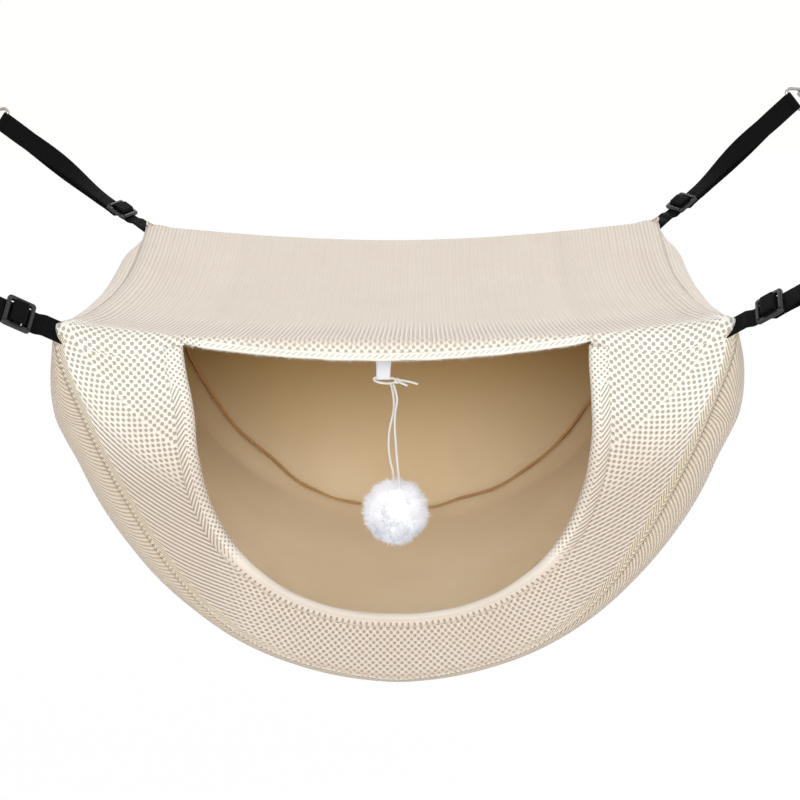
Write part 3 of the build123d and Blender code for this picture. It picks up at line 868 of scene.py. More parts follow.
def gussetRows():
    rows = []
    for share in spread(-1, 1, gusset["steps"]):
        # Rows crowd together where the gusset swells out of its seams
        y = pouch["seamDepth"] * math.sin(share * math.pi / 2)
        soft = min(1, (pouch["seamDepth"] - abs(y)) / gusset["creaseRun"])
        row = []
        for x, z in troughLine(y):
            ripple = creased((x, y, z), gusset["crease"], gusset["creaseSize"]) * soft
            length = math.hypot(x, z)
            row.append((x * (1 + ripple / length), y, z * (1 + ripple / length)))
        rows.append(row)
    return rows


def makeGusset():
    rows = gussetRows()
    lengths = runLengths(troughLine(0))
    seamMap = []
    for row in rows:
        gap = pouch["seamDepth"] - abs(row[0][1])
        full = 4 * (1 - rounded(gap / pouch["bulgeRun"]))
        seamMap.append([(length, gap + 6 - full) for length in lengths])
    patch = {"rows": rows, "turned": True, "maps": {"seam": seamMap}}
    piece = sewPatches("pouch_gusset", [patch], pouch["wall"])
    dress(piece, finishes["gusset"], "pouch")
    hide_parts("bottom_gusset")
    flatSize(rows)[::-1]


def ruledRows(line, top, steps, depth):
    # Half-moon between the U line and the top line, as rows of the same number of points
    rows = []
    for share in spread(0, 1, steps):
        row = []
        for (x, z), (upX, upZ) in zip(line, top):
            here = (mix(x, upX, share), mix(z, upZ, share))
            row.append((here[0], depth(here, share), here[1]))
        rows.append(row)
    return rows


def topLine(line, y, inset):
    # A point of the deck's end above each point of the U, so that the half-moon is ruled upright
    half = deckEdge(y)[0] - inset
    points = []
    for share in spread(0, 1, len(line) - 1):
        across = mix(-half, half, smooth(share) * 0.35 + share * 0.65)
        points.append((across, deckHeight(across, y) - inset))
    return points


def makeBack():
    line = troughLine(pouch["seamDepth"])
    top = topLine(line, 150, 0)

    def depth(here, share):
        reach = math.hypot(here[0] / pouch["reach"], here[1] / pouch["drop"]) if here[1] < 0 else 0.9
        fromSeam = (1 - min(1, reach)) * 210
        fromTop = deckHeight(here[0], 150) - here[1]
        gap = min(fromSeam, fromTop + 3)
        full = rounded(gap / 14)
        belly = 2.5 * smooth(gap / 90)
        return pouch["seamDepth"] + 5.5 * full + belly + creased((here[0], 150, here[1]), 0.9, 44) * full

    rows = ruledRows(line, top, 60, depth)
    patch = {"rows": rows, "turned": True, "maps": {"seam": flatMap(rows, 2)}}
    piece = sewPatches("pouch_back", [patch], pouch["wall"])
    dress(piece, finishes["back"], "pouch")
    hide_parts("back_panel")
    uprightSize(rows)


# Linings

lining = {
    "inset": 5.2, "wall": 0.8, "end": 146, "seamBack": 134, "seamRun": 22,
    "frontTop": -16, "frontDepth": -147.6,
}
# Share of the even curve at which the inner back seam runs, by its angle: it wanders as sewn cloth does
innerSeam = [
    (0, 0.99), (25, 0.985), (33, 0.985), (45, 0.992), (54, 0.987), (65, 1.012), (72, 1.014), (81, 1.008),
    (96, 1.012), (104, 1.0), (113, 1.01), (122, 1.004), (132, 1.0), (141, 0.988), (155, 0.99), (180, 0.985),
]


def innerShare(turn):
    for (before, first), (here, last) in zip(innerSeam, innerSeam[1:]):
        if turn <= here:
            return mix(first, last, smooth((turn - before) / (here - before)))
    return innerSeam[-1][1]


def liningLine(y):
    # The lining's U: an even curve that turns into the wandering seam at the back
    line = troughLine(y, lining["inset"])
    back = smooth((y - lining["seamBack"] + lining["seamRun"]) / lining["seamRun"])
    if back <= 0:
        return line
    points = []
    for x, z in line:
        turn = math.degrees(math.atan2(max(0, -z) / 230, -x / 193)) if z < 0 else (0 if x < 0 else 180)
        share = innerShare(turn)
        angle = math.radians(turn)
        seamX, seamZ = -193 * share * math.cos(angle), -232 * share * math.sin(angle)
        low = smooth(-z / 60)
        points.append((mix(x, seamX, back * low), mix(z, seamZ, back * low)))
    return points


def sewLining(name, node, rows, axis, flat, turned=False):
    patch = {"rows": rows, "turned": turned, "maps": {"seam": flatMap(rows, axis)}}
    piece = sewPatches(name, [patch], lining["wall"])
    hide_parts(node)
    return piece


def makeLinings():
    made = []
    rows = []
    for share in spread(-1, 1, 44):
        y = mix(-lining["end"] - 1, lining["seamBack"], (share + 1) / 2)
        rows.append([(x, y, z) for x, z in liningLine(y)])
    flat = flatSize(rows)[::-1]
    made.append(sewLining("lining_gusset", "gusset_lining", rows, 1, flat, True))

    line = liningLine(lining["seamBack"])
    top = topLine(line, lining["end"], lining["inset"])

    def depth(here, share):
        wander = creased((here[0], 140, here[1]), 1.6, 60) * math.sin(math.pi * share)
        return mix(lining["seamBack"], lining["end"], rounded(share * 2.2)) + wander

    rows = ruledRows(line, top, 44, depth)
    made.append(sewLining("lining_back", "back_lining", rows, 2, uprightSize(rows)))

    rows = []
    for y in spread(lining["end"], -lining["end"], 50):
        half = deckEdge(y)[0] - lining["inset"]
        rows.append([(x, y, deckHeight(x, y) - lining["inset"] + 1.2 * (abs(x) / half) ** 8)
                     for x in spread(-half, half, 70)])
    made.append(sewLining("lining_top", "top_lining", rows, 1, flatSize(rows)))

    rows = frontLiningRows()
    flat = uprightSize(rows)
    made.append(sewLining("lining_front", "front_lining", rows, 2, flat, True))
    for piece in made:
        dress(piece, finishes["lining"], "pouch")


def frontLiningRows():
    line = troughLine(-pouch["seamDepth"] + 2, lining["inset"] + 1)
    centre = (opening["centreX"], opening["centreZ"])
    top, depth = lining["frontTop"], lining["frontDepth"]

    def flatRow(outer, inner):
        return [(mix(outer[0], inner[0], share), depth, mix(outer[1], inner[1], share))
                for share in spread(0, 1, 12)]

    def sideRows(corner, hem, angle, shares):
        # Between the top of the lining and the level of the opening's centre
        first = flatRow((corner, top), (hem, top))
        last = flatRow(rayMeets(centre, angle, line)[0], openingRound(angle))
        return [[tuple(mix(a, b, share) for a, b in zip(one, two)) for one, two in zip(first, last)]
                for share in shares]

    rows = sideRows(-pouch["halfWidth"] + 9, leftX, math.pi, spread(0, 1, 10)[:-1])
    for share in spread(0, 1, 120):
        angle = math.pi * (1 + share)
        rows.append(flatRow(rayMeets(centre, angle, line)[0], whereOpening(angle)))
    return rows + sideRows(pouch["halfWidth"] - 9, rightX, 0, spread(1, 0, 10)[1:])


# Inner seam: a raised double roll of cloth where the back lining meets the floor

def sweepRows(line, sections):
    # A section of its own at each point of a line; a section point is (outwards, forwards) off the line
    rows = []
    for number, ((x, z), section) in enumerate(zip(line, sections)):
        way = wayAlong(line, number)
        rows.append([(x + way.y * off, y, z - way.x * off) for off, y in section])
    return rows


def makeSeamRoll():
    # Two thin folds of cloth side by side that part and meet again
    made = []
    keep = [point for point in liningLine(lining["seamBack"]) if point[1] < -22]
    lengths = runLengths(keep)
    turns = list(range(0, 361, 30))
    for full, off, wander in ((1.25, -0.9, 0.9), (0.95, 1.0, 1.7)):
        sections = []
        for x, z in keep:
            shift = off + creased((x, 60 * off, z), wander, 24)
            radius = full * (0.72 + 0.4 * abs(x) / 190)
            sections.append([
                (shift + radius * math.cos(math.radians(turn)),
                 lining["seamBack"] - 1.1 + radius * math.sin(math.radians(turn)))
                for turn in turns
            ])
        seamMap = [[(length, step * 0.8) for step in range(len(turns))] for length in lengths]
        made.append({"rows": sweepRows(keep, sections), "maps": {"seam": seamMap}})
    piece = sewPatches("inner_seam_roll", made, 0, 0.01)
    closeEnds(piece)
    dress(piece, finishes["seam"], "pouch")
    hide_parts("seam_tape")


def closeEnds(piece):
    closed = bmesh.new()
    closed.from_mesh(piece.data)
    bmesh.ops.remove_doubles(closed, verts=closed.verts, dist=0.02 * mm)
    rims = [edge for edge in closed.edges if edge.is_boundary]
    if rims:
        bmesh.ops.holes_fill(closed, edges=rims, sides=0)
    bmesh.ops.recalc_face_normals(closed, faces=closed.faces)
    closed.to_mesh(piece.data)
    closed.free()


# Folded binding along the curved side of the opening

binding = {"width": 9, "footWidth": 5}


def makeBinding():
    line = openingLine(14, 150)
    lengths = runLengths(line)
    rows, seamMap = [], []
    for number, (x, z) in enumerate(line):
        way = wayAlong(line, number)
        out = Vector((way.y, -way.x))
        low = smooth((-z - 120) / 60)
        width = mix(binding["width"], binding["footWidth"], low)
        hollow = -pouch["seamDepth"] - shell["rise"] + shell["hemFall"]
        # Off the opening's edge and depth: over the front, round the fold and back along the lining
        section = [
            (width, hollow - 1.6), (width - 0.4, hollow - 2.9), (width - 1.6, hollow - 3.7),
            (width * 0.6, hollow - 4.0), (width * 0.35, hollow - 3.8), (1.2, hollow - 3.0),
            (0.1, hollow - 1.6), (-0.5, hollow + 0.4), (-0.4, hollow + 2.0), (0.3, hollow + 3.8),
            (1.6, hollow + 4.7), (3.4, hollow + 4.9), (width - 1, hollow + 5.0),
        ]
        wobble = creased((x, 0, z), 0.5, 20)
        rows.append([
            (x + out.x * (off + wobble), depth, z + out.y * (off + wobble)) for off, depth in section
        ])
        seamMap.append([(lengths[number], walk) for walk in runLengths(section)])
    piece = sewPatches("opening_binding", [{"rows": rows, "maps": {"seam": seamMap}}], 0.9)
    dress(piece, finishes["binding"], "pouch")
    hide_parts("opening_hem")


# Rolled lip along the flat side of the opening, with its frayed edge

lip = {"height": 4.6, "proud": 0.9, "fringe": 2.4, "strands": 1500}


def makeLip():
    rows, seamMap = [], []
    for x in spread(leftX + 1, rightX - 1, 90):
        footY, footZ = rollPoint(x, 90)[1:]
        wobble = creased((x, 0, 0), 0.5, 14)
        section = [
            (footY + 0.2, footZ + lip["height"]), (footY - lip["proud"], footZ + lip["height"] - 1.2),
            (footY - lip["proud"] - 0.3, footZ + 2), (footY - lip["proud"] + 0.2, footZ + 0.2 + wobble),
            (footY + 1.2, footZ - 0.7 + wobble), (footY + 4, footZ - 0.6 + wobble),
            (footY + 7.5, footZ - 0.2), (footY + 8.5, footZ + 1.6),
        ]
        rows.append([(x, y, z) for y, z in section])
        seamMap.append([(x, walk) for walk in runLengths(section)])
    piece = sewPatches("lip_band", [{"rows": rows, "maps": {"seam": seamMap}}], 0.8)
    dress(piece, finishes["binding"], "pouch")
    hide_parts("lip_hem")


def makeFringe():
    # Loose ends of thread under the lip, each a thin bent blade
    pick = random.Random(11)
    sheet = bmesh.new()
    for strand in range(lip["strands"]):
        x = pick.uniform(leftX + 3, rightX - 3)
        footY, footZ = rollPoint(x, 90)[1:]
        y = footY + pick.uniform(-0.4, 3.2)
        start = Vector((x, y, footZ + 0.2))
        length = lip["fringe"] * pick.uniform(0.45, 1.0) * (1.5 if pick.random() < 0.04 else 1)
        way = Vector((pick.gauss(0, 0.35), pick.gauss(-0.1, 0.3), -1)).normalized()
        curl = Vector((pick.gauss(0, 0.5), pick.gauss(0, 0.4), 0.15))
        side = way.cross(Vector((pick.uniform(-1, 1), pick.uniform(-1, 1), 0.1))).normalized() * 0.11
        rings = []
        for share in (0, 0.5, 1):
            spot = start + way * length * share + curl * share * share * length * 0.5
            thin = 1 - 0.7 * share
            ring = (spot - side * thin, spot + side * thin, spot + side.cross(way) * thin)
            rings.append([place * mm for place in ring])
        addHair(sheet, rings)
    bmesh.ops.recalc_face_normals(sheet, faces=sheet.faces)
    dress(meshPiece("lip_fringe", sheet), finishes["string"], "pouch")


# Cat toy

toy = {
    "depth": -143, "cord": 1.4, "ribbonWidth": 10, "ribbonX": -6, "ribbonDrop": 34.5, "ribbonGap": 1.1,
    "ball": 20.5, "ballX": -0.7, "ballZ": -121.0, "core": 0.84, "hairs": 13500, "hairRoot": 0.74,
}
strandRoute = [
    (-2.6, 0.9, -38.2), (-1.4, 0.9, -42.6), (-0.8, 1.0, -48.2), (-0.7, 1.1, -53.6), (-1.9, 1.0, -60),
    (-3.7, 0.9, -67.2), (-4.5, 0.7, -76.7), (-3.8, 0.5, -87), (-1.2, 0.4, -97.5), (-2.2, 0.2, -107),
    (-4.6, 0, -115.5), (-0.6, 0, -121.6), (3.4, 0, -115.6), (2.6, -0.3, -106.5), (1.6, -0.7, -98),
    (0.9, -1.0, -89), (0.1, -1.1, -76.7), (-0.5, -1.2, -64.6), (-0.2, -1.2, -56), (1.2, -1.1, -50),
    (1.2, -1.0, -44.8), (-0.9, -0.9, -38.2),
]
knotRoutes = [
    [(1.0, 0, -35.6), (-0.6, 0.05, -34.7), (-4.2, -0.05, -34.45), (-8.6, 0.05, -34.4), (-11.9, 0.1, -34.1),
     (-12.9, 0.0, -34.9), (-11.9, -0.6, -36.2), (-8.6, -1.0, -37.2), (-4.8, -0.8, -37.7), (-1.4, -0.3, -37.5),
     (0.9, 0, -37.0)],
    [(2.4, 0, -35.9), (5.4, 0.3, -36.2), (9.2, -0.9, -36.6), (13.8, -0.6, -38.2)],
    [(2.2, -0.5, -36.6), (4.4, -1.2, -37.4), (7.6, -1.8, -38.9)],
]


def toyPoint(point):
    x, y, z = point
    return Vector((x, y + toy["depth"], z)) * mm


def cordCurve(name, routes, diameter):
    curve = bpy.data.curves.new(name, "CURVE")
    curve.dimensions = "3D"
    for route in routes:
        spline = curve.splines.new("NURBS")
        spline.points.add(len(route) - 1)
        for point, spot in zip(spline.points, route):
            point.co = (*toyPoint(spot), 1)
        spline.order_u = 3
        spline.use_endpoint_u = True
        spline.resolution_u = 10
    curve.bevel_depth = diameter * mm / 2
    curve.bevel_resolution = 3
    curve.use_fill_caps = True
    cord = bpy.data.objects.new(name, curve)
    bpy.context.scene.collection.objects.link(cord)
    return cord


def cordTube(name, routes, diameter):
    # The cord as a mesh tube, and the points that its middle line follows
    cord = cordCurve(name, routes, diameter)
    thick = cord.data.bevel_depth
    cord.data.bevel_depth = 0
    bpy.context.view_layer.update()
    line = bpy.data.meshes.new_from_object(cord.evaluated_get(bpy.context.evaluated_depsgraph_get()))
    path = [vertex.co.copy() for vertex in line.vertices]
    bpy.data.meshes.remove(line)
    cord.data.bevel_depth = thick
    makeActive(cord)
    bpy.ops.object.convert(target="MESH")
    bpy.ops.object.shade_smooth()
    closeEnds(cord)
    return cord, path


def makeToy():
    # Ribbon: a loop of two legs, a little wider apart at its foot where the cord passes
    rows, ribbonMap = [], []
    top = deckHeight(toy["ribbonX"], toy["depth"]) - 4
    gap, foot = toy["ribbonGap"], -toy["ribbonDrop"]
    section = [(-gap, z) for z in spread(top, foot, 10)]
    for turn in range(20, 180, 20):
        angle = math.radians(turn)
        section.append((-gap * math.cos(angle), foot - gap * math.sin(angle)))
    section += [(gap, z) for z in spread(foot, top, 10)]
    walked = runLengths(section)
    for across in spread(-0.5, 0.5, 6):
        row = []
        for off, z in section:
            sway = 0.9 * math.sin((top - z) / (top - foot) * 2.4)
            drawn = mix(1, 0.84, smooth((top - z) / (top - foot)))
            x = toy["ribbonX"] + across * toy["ribbonWidth"] * drawn - 0.05 * (top - z)
            row.append((x, toy["depth"] + off + sway * 0.4, z))
        rows.append(row)
        ribbonMap.append([(walk, across * 10) for walk in walked])
    ribbon = sewPatches("ribbon_loop", [{"rows": rows, "maps": {"seam": ribbonMap}}], 0.45)
    dress(ribbon, finishes["ribbon"], "pouch")
    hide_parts("ribbon_tab")

    knot = cordTube("knot_cord", knotRoutes, toy["cord"])[0]
    dress(knot, finishes["string"], "toy_loop")
    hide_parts("cord_knot")
    ball = makeKnotBall()
    string, path = cordTube("toy_string", [strandRoute], toy["cord"])
    dress(string, finishes["string"], "toy")
    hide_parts("toy_cord")
    core, fur = makePompom()
    length = sum((after - before).length for before, after in zip(path, path[1:]))
    print("toy string", round(length / mm, 1), "mm")
    toyPoint(strandRoute[0])
    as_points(path)


def makeKnotBall():
    # Three turns of cord pulled tight: tori squeezed together
    clearSelection()
    middle = toyPoint((1.4, 0, -36.2))
    turns = []
    for tilt in ((90, 0, 0), (70, 55, 0), (110, -50, 20)):
        bpy.ops.mesh.primitive_torus_add(
            location=middle, rotation=[math.radians(angle) for angle in tilt], major_radius=1.15 * mm,
            minor_radius=0.72 * mm, major_segments=28, minor_segments=12,
        )
        turns.append(bpy.context.object)
    for turn in turns:
        turn.select_set(True)
    bpy.context.view_layer.objects.active = turns[0]
    bpy.ops.object.join()
    ball = bpy.context.object
    ball.name = "knot_turns"
    bpy.ops.object.transform_apply(location=True, rotation=True, scale=True)
    bpy.ops.object.shade_smooth()
    return dress(ball, finishes["string"], "toy_loop")


def makePompom():
    clearSelection()
    middle = toyPoint((toy["ballX"], 0, toy["ballZ"]))
    radius = toy["ball"] * toy["core"] * mm
    bpy.ops.mesh.primitive_ico_sphere_add(subdivisions=4, radius=radius, location=middle)
    core = bpy.context.object
    core.name = "pompom_core"
    bpy.ops.object.transform_apply(location=True, rotation=True, scale=True)
    for vertex in core.data.vertices:
        away = vertex.co - middle
        vertex.co = middle + away * (1 + 0.10 * noise.noise(away / mm / 5))
    bpy.ops.object.shade_smooth()
    dress(core, finishes["fur"], "toy")
    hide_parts("pompom")

    pick = random.Random(7)
    sheet = bmesh.new()
    golden = math.pi * (3 - math.sqrt(5))
    for number in range(toy["hairs"]):
        height = 1 - 2 * (number + 0.5) / toy["hairs"]
        around = number * golden
        flat = math.sqrt(1 - height * height)
        way = Vector((flat * math.cos(around), flat * math.sin(around), height))
        way = (way + Vector([pick.gauss(0, 0.1) for axis in range(3)])).normalized()
        # Hairs lean together and a little down, each with its own bend
        lean = Vector([noise.noise(way * 4 + Vector((shift, 0, 0))) for shift in (0, 9, 18)]) * 0.4
        lean += Vector([pick.gauss(0, 0.16) for axis in range(3)]) + Vector((0, 0, -0.1))
        reach = toy["ball"] * (0.95 + 0.05 * noise.noise(way * 2.5) + pick.uniform(-0.08, 0.06))
        root = toy["ball"] * toy["hairRoot"]
        side = way.cross(Vector((0.3, 0.2, 1))).normalized()
        other = side.cross(way)
        rings = []
        for share, thick in ((0, 0.26), (0.6, 0.2), (1, 0.04)):
            spot = way * mix(root, reach, share) + lean * share * share * (reach - root)
            ring = []
            for corner in range(3):
                angle = corner * 2 * math.pi / 3
                off = side * math.cos(angle) + other * math.sin(angle)
                ring.append(middle + (spot + off * thick) * mm)
            rings.append(ring)
        addHair(sheet, rings)
    for face in sheet.faces:
        face.smooth = True
    fur = meshPiece("pompom_fur", sheet)
    return core, dress(fur, finishes["fur"], "toy")


# Straps: black webbing folded through the tri-glide and round the bar of the hook's eye

strap = {
    "width": 15, "wall": 1.2, "weaveGap": 0.1, "bend": 1.1, "pivot": 6, "glide": 25, "eye": 150,
    "glideWall": 2.4, "bar": 2.8, "slotGap": 0.8, "ramp": 9, "rampRun": 4, "overlap": 17, "twist": 42,
    "tailEnd": 40, "hookRoll": 20, "eyeWire": 2.6, "bightGap": 0.2, "bightLeg": 6, "upperLens": 2.2,
    "lowerLens": 0.6, "twistSteps": 40, "seamDrop": 1.75,
    # Side, end, heading, rise and roll of each strap
    "corners": {
        "front_left": (-1, -1, 22, 31, 45), "front_right": (1, -1, 26, 35, 60),
        "back_left": (-1, 1, 22, 31, 88), "back_right": (1, 1, 26, 35, 88),
    },
}
layerStep = strap["wall"] + strap["weaveGap"]
glideLayer = (strap["glideWall"] + strap["wall"]) / 2 + strap["weaveGap"]
wrapReach = strap["bar"] / 2 + strap["weaveGap"] + strap["wall"] / 2
humpReach = wrapReach + strap["wall"] + strap["slotGap"]
bightRadius = strap["eyeWire"] / 2 + strap["bightGap"] + strap["wall"] / 2


def strapPlace(corner, along, height, roll):
    # The point at a distance along the strap and off its face, with the way across the webbing there
    side, end = strap["corners"][corner][:2]
    heading, rise, turn = (math.radians(angle) for angle in (*strap["corners"][corner][2:4], roll))
    flat = math.cos(rise)
    way = Vector((side * flat * math.cos(heading), end * flat * math.sin(heading), math.sin(rise)))
    level = Vector((side * way.y, -side * way.x, 0)).normalized()
    upward = way.cross(level) * -side
    face = level * math.cos(turn) + upward * math.sin(turn)
    start = Vector((side * pouch["halfWidth"], end * pouch["halfDepth"], -strap["seamDrop"]))
    return start + way * along + face * height, way.cross(face), face, way


def foldedLine(points, bend):
    # A line of straight runs with round folds, in the strap's own plane
    made = [Vector(points[0])]
    for before, here, after in zip(points, points[1:], points[2:]):
        before, here, after = Vector(before), Vector(here), Vector(after)
        arriving, leaving = (here - before).normalized(), (after - here).normalized()
        angle = arriving.angle(leaving)
        if angle < 0.01:
            continue
        cut = min(bend * math.tan(angle / 2), 0.49 * (here - before).length, 0.49 * (after - here).length)
        first, last = here - arriving * cut, here + leaving * cut
        for share in spread(0, 1, 6):
            rest = 1 - share
            made.append(first * rest * rest + here * 2 * rest * share + last * share * share)
    made.append(Vector(points[-1]))
    return made


def webbingPiece(name, stations):
    # Woven strip with soft edges; a station is its middle, the way across and the way off its face
    half, wall = strap["width"] / 2, strap["wall"] / 2
    section = [
        (-half, 0), (-half + 0.25, 0.75), (-half + 0.9, 1), (-half / 3, 1.0), (half / 3, 1.0),
        (half - 0.9, 1), (half - 0.25, 0.75), (half, 0), (half - 0.25, -0.75), (half - 0.9, -1),
        (half / 3, -1.0), (-half / 3, -1.0), (-half + 0.9, -1), (-half + 0.25, -0.75), (-half, 0),
    ]
    rows, stripMap = [], []
    walked = 0
    last = None
    for middle, across, face in stations:
        walked += (middle - last).length if last else 0
        last = middle
        rows.append([tuple(middle + across * off + face * (up * wall)) for off, up in section])
        stripMap.append([(walked, off + (2 if up < 0 else 0)) for off, up in section])
    piece = sewPatches(name, [{"rows": rows, "maps": {"strip": stripMap}}], 0, 0.01)
    closeEnds(piece)
    applyModifier(piece, "TRIANGULATE")
    return piece


def foldStations(corner, points, bend):
    roll = strap["corners"][corner][4]
    line = foldedLine(points, bend)
    stations = []
    for number, (along, height) in enumerate(line):
        slope = wayAlong(line, number)
        middle, across, face, way = strapPlace(corner, along, height, roll)
        stations.append((middle, across, face * slope.x - way * slope.y))
    return stations


def twistStations(corner, startHeight, endHeight, lens):
    stations = []
    reach = strap["eye"] - strap["bightLeg"]
    for share in spread(0, 1, strap["twistSteps"]):
        turned = (1 - math.cos(share * math.pi)) / 2
        roll = mix(strap["corners"][corner][4], strap["hookRoll"], turned)
        height = mix(startHeight, endHeight, turned) + lens * math.sin(share * math.pi) ** 2
        stations.append(strapPlace(corner, mix(strap["twist"], reach, share), height, roll)[:3])
    return stations


def makeStraps():
    for corner in strap["corners"]:
        middle, reach, roll = strap["pivot"], strap["glide"], strap["corners"][corner][4]

        def spot(along):
            return strapPlace(corner, along, 0, roll)[0] * mm

        tab = webbingPiece(f"{corner}_tab", foldStations(corner, [(-5, 0), (0, 0), (middle + 0.3, 0)], 1))
        dress(tab, finishes["webbing"])
        spot(1.5)
        spot(middle + 0.3)
        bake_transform(tab)
        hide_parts(f"{corner}_sewn_tab")

        under = -glideLayer
        tail = webbingPiece(f"{corner}_tail", foldStations(corner, [
            (middle + 0.2, 0), (strap["ramp"], 0), (strap["ramp"] + strap["rampRun"], under),
            (strap["overlap"] + 0.1, under),
        ], strap["bend"] * 3))
        dress(tail, finishes["webbing"])
        spot(middle + 1)
        spot(strap["overlap"] - 1)
        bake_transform(tail)
        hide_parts(f"{corner}_tail_webbing")

        hump = glideLayer + layerStep
        outer = foldStations(corner, [
            (strap["overlap"] - 0.1, under), (reach - humpReach, under), (reach - humpReach, hump),
            (reach + humpReach, hump), (reach + humpReach, under), (strap["twist"], under),
        ], strap["bend"])
        outer += twistStations(corner, under, bightRadius, strap["upperLens"])[1:]
        upper = webbingPiece(f"{corner}_outer_run", outer)
        sewn = under - 2 * layerStep
        inner = twistStations(corner, sewn, -bightRadius, -strap["lowerLens"])[::-1]
        inner += foldStations(corner, [
            (strap["twist"], sewn), (reach + strap["bar"] / 2, sewn), (reach - wrapReach, under),
            (reach - wrapReach, glideLayer), (reach + wrapReach, glideLayer),
            (reach + wrapReach, under - layerStep), (strap["tailEnd"], under - layerStep),
        ], strap["bend"])[1:]
        lower = webbingPiece(f"{corner}_inner_run", inner)
        for piece in (upper, lower):
            dress(piece, finishes["webbing"])
            spot(48)
            spot(141)
            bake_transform(piece)
        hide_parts(f"{corner}_loop_webbing")

        leg = strap["eye"] - strap["bightLeg"] - 0.2
        turns = [math.radians(turn) for turn in range(0, 181, 12)]
        bends = [(turn, strap["eye"] + bightRadius * math.sin(turn)) for turn in turns]
        stations = []
        for turn, along in [(0, leg)] + bends + [(math.pi, leg)]:
            height = bightRadius * math.cos(turn)
            place, across, face, way = strapPlace(corner, along, height, strap["hookRoll"])
            stations.append((place, across, face * math.cos(turn) + way * math.sin(turn)))
        bight = webbingPiece(f"{corner}_bight", stations)
        dress(bight, finishes["webbing"], f"{corner}_loop")
        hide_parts(f"{corner}_webbing_bight")
        print("strap made:", corner)


def dressHardware():
    plated = ("metal", "hook_metal")
    kinds = {
        "tri_glide": ("glide", "glide_plastic"), "hook_eye": plated, "snap_hook": plated, "gate_pin": plated,
        "gate_spring": ("spring", "spring_steel"), "gate": plated,
    }
    for corner in strap["corners"]:
        for kind, (finish, slot) in kinds.items():
            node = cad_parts[f"{corner}_{kind}"]
            node.data.materials.clear()
            node.data.materials.append(finishes[finish])
            makeActive(node)
            bpy.ops.object.shade_smooth_by_angle(angle=math.radians(35))


def middleOf(piece):
    return sum((vertex.co for vertex in piece.data.vertices), Vector()) / len(piece.data.vertices)


def bendSprings():
    # An opening gate presses its leaf spring in, and the spring's foot stays in the hook; here each spring is
    # only copied as a leaf piece of its own and its original hidden, and the foot and tip along the gate are
    # found but not used
    for corner in strap["corners"]:
        kinds = ("gate_spring", "gate", "gate_pin")
        spring, gate, pin = (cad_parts[f"{corner}_{kind}"] for kind in kinds)
        pivot = middleOf(pin)
        along = (middleOf(gate) - pivot).normalized()
        heights = [(vertex.co - pivot).dot(along) for vertex in spring.data.vertices]
        foot, tip = (pivot + along * mix(min(heights), max(heights), share) for share in (0.4, 1))
        leaf = bpy.data.objects.new(f"{corner}_leaf_spring", spring.data.copy())
        bpy.context.scene.collection.objects.link(leaf)
        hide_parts(spring.name)
        tuple(foot)
        tuple(tip)
        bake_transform(leaf)


# Room, lamps and camera

studio = {"floor": -900, "eye": (20.865, -1005.708, 237.127), "turn": -0.02077, "pitch": 0.31963,
          "tilt": -0.01296, "lens": 67.5, "sensor": 36}


def cameraShare(finish):
    # 1 for a ray that comes straight from the camera or off a shiny surface
    rays = finish.node("ShaderNodeLightPath").socket.node
    straight, shiny = (Wire(finish, rays.outputs[kind]) for kind in ("Is Camera Ray", "Is Glossy Ray"))
    return straight.maths("MAXIMUM", shiny)


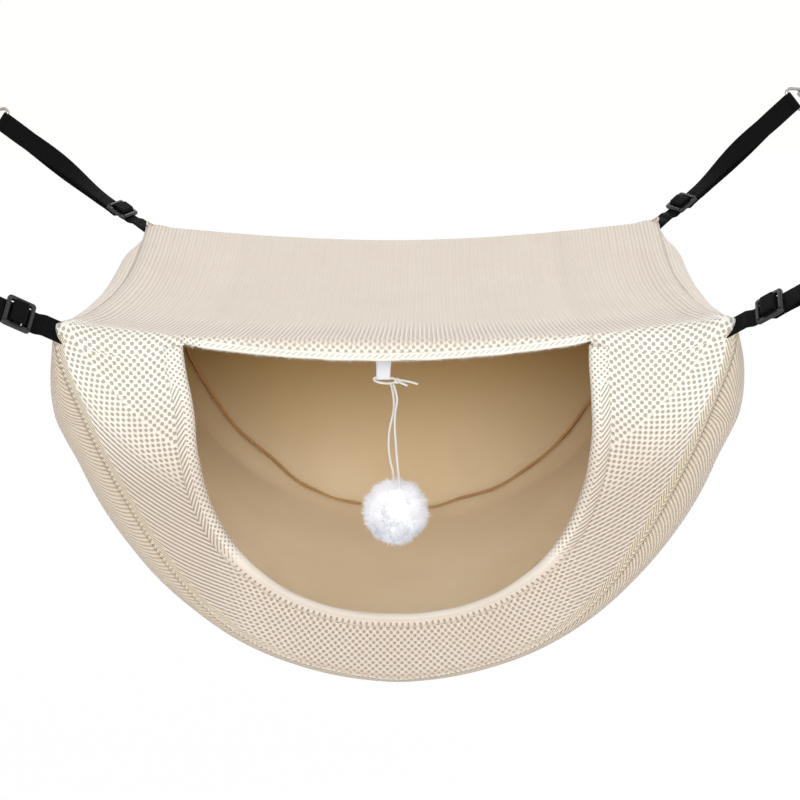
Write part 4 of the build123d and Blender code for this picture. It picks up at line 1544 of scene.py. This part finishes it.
def makeStudio():
    clearSelection()
    bpy.ops.mesh.primitive_plane_add(size=12, location=(0, 0, studio["floor"] * mm))
    floor = bpy.context.object
    floor.name = "studio_floor"
    plain = Finish("studioFloor")
    speck = plain.cloud(0.05, 2)
    shade = plain.between(speck * 0.2, paint(246, 246, 244), paint(240, 240, 238))
    cloth = plain.node("ShaderNodeBsdfPrincipled", None, {"Base Color": shade, "Roughness": 0.9})
    glow = plain.node("ShaderNodeEmission", None, {"Color": paint(255, 255, 255), "Strength": 1})
    x, y = plain.places()[:2]
    outside = (x * x + y * y).root().step(500, 1900)
    share = cameraShare(plain) * (0.93 + 0.07 * outside)
    both = plain.node("ShaderNodeMixShader", None, {0: share, 1: cloth, 2: glow})
    plain.node("ShaderNodeOutputMaterial", None, {"Surface": both})
    floor.data.materials.append(plain.material)

    air = Finish("studioLight", bpy.data.worlds)
    bpy.context.scene.world = air.material
    seen = air.node("ShaderNodeBackground", None, {"Color": paint(255, 255, 254), "Strength": 1})
    light = air.node("ShaderNodeBackground", None, {"Color": paint(252, 253, 255), "Strength": 0.66})
    both = air.node("ShaderNodeMixShader", None, {0: cameraShare(air), 1: light, 2: seen})
    air.node("ShaderNodeOutputWorld", None, {"Surface": both})

    lamps = (
        ("frontBox", (0.1, -1.75, 0.8), 1.1, 16, -0.1), ("mouthBox", (0, -1.8, 0.2), 0.9, 5.5, -0.1),
        ("topBox", (0, 0.1, 1.7), 1.2, 2.8, -0.1), ("leftBox", (-1.8, -0.6, 0.7), 1.2, 3, -0.1),
        ("rightBox", (1.8, -0.6, 0.7), 1.2, 3.4, -0.1), ("backBox", (0.4, 2.1, 0.7), 1.2, 14, -0.1),
        ("pouchGlow", (0, -0.01, -0.07), 0.24, 0.11, -1),
    )
    for name, place, size, power, aim in lamps:
        bpy.ops.object.light_add(type="AREA", location=place)
        lamp = bpy.context.object
        lamp.name = name
        lamp.visible_camera = False
        lamp.data.shape = "RECTANGLE"
        lamp.data.size = size
        lamp.data.size_y = size * 0.7
        lamp.data.energy = power
        lamp.rotation_euler = (Vector((0, 0, aim)) - Vector(place)).to_track_quat("-Z", "Y").to_euler()


def makeCamera():
    yaw, pitch, tilt = studio["turn"], studio["pitch"], studio["tilt"]
    ahead = Vector((math.sin(yaw) * math.cos(pitch), math.cos(yaw) * math.cos(pitch), -math.sin(pitch)))
    right = Vector((math.cos(yaw), -math.sin(yaw), 0))
    up = right.cross(ahead)
    across = right * math.cos(tilt) + up * math.sin(tilt)
    rise = up * math.cos(tilt) - right * math.sin(tilt)
    camera = bpy.data.cameras.new("camera")
    camera.lens = studio["lens"]
    camera.sensor_width = studio["sensor"]
    camera.clip_start = 0.05
    camera.clip_end = 20
    eye = bpy.data.objects.new("camera", camera)
    bpy.context.scene.collection.objects.link(eye)
    spot = Vector(studio["eye"]) * mm
    eye.matrix_world = Matrix((
        (across.x, rise.x, -ahead.x, spot.x), (across.y, rise.y, -ahead.y, spot.y),
        (across.z, rise.z, -ahead.z, spot.z), (0, 0, 0, 1),
    ))
    bpy.context.scene.camera = eye


makeCamera()
makeToy()
print("toy made")
makeGusset()
makeBack()
makeBinding()
makeLip()
makeShell()
print("pouch made")
makeLinings()
makeSeamRoll()
makeFringe()
print("linings made")
makeStraps()
dressHardware()
bendSprings()
makeStudio()
bpy.context.scene.view_settings.view_transform = "Standard"


print("done")
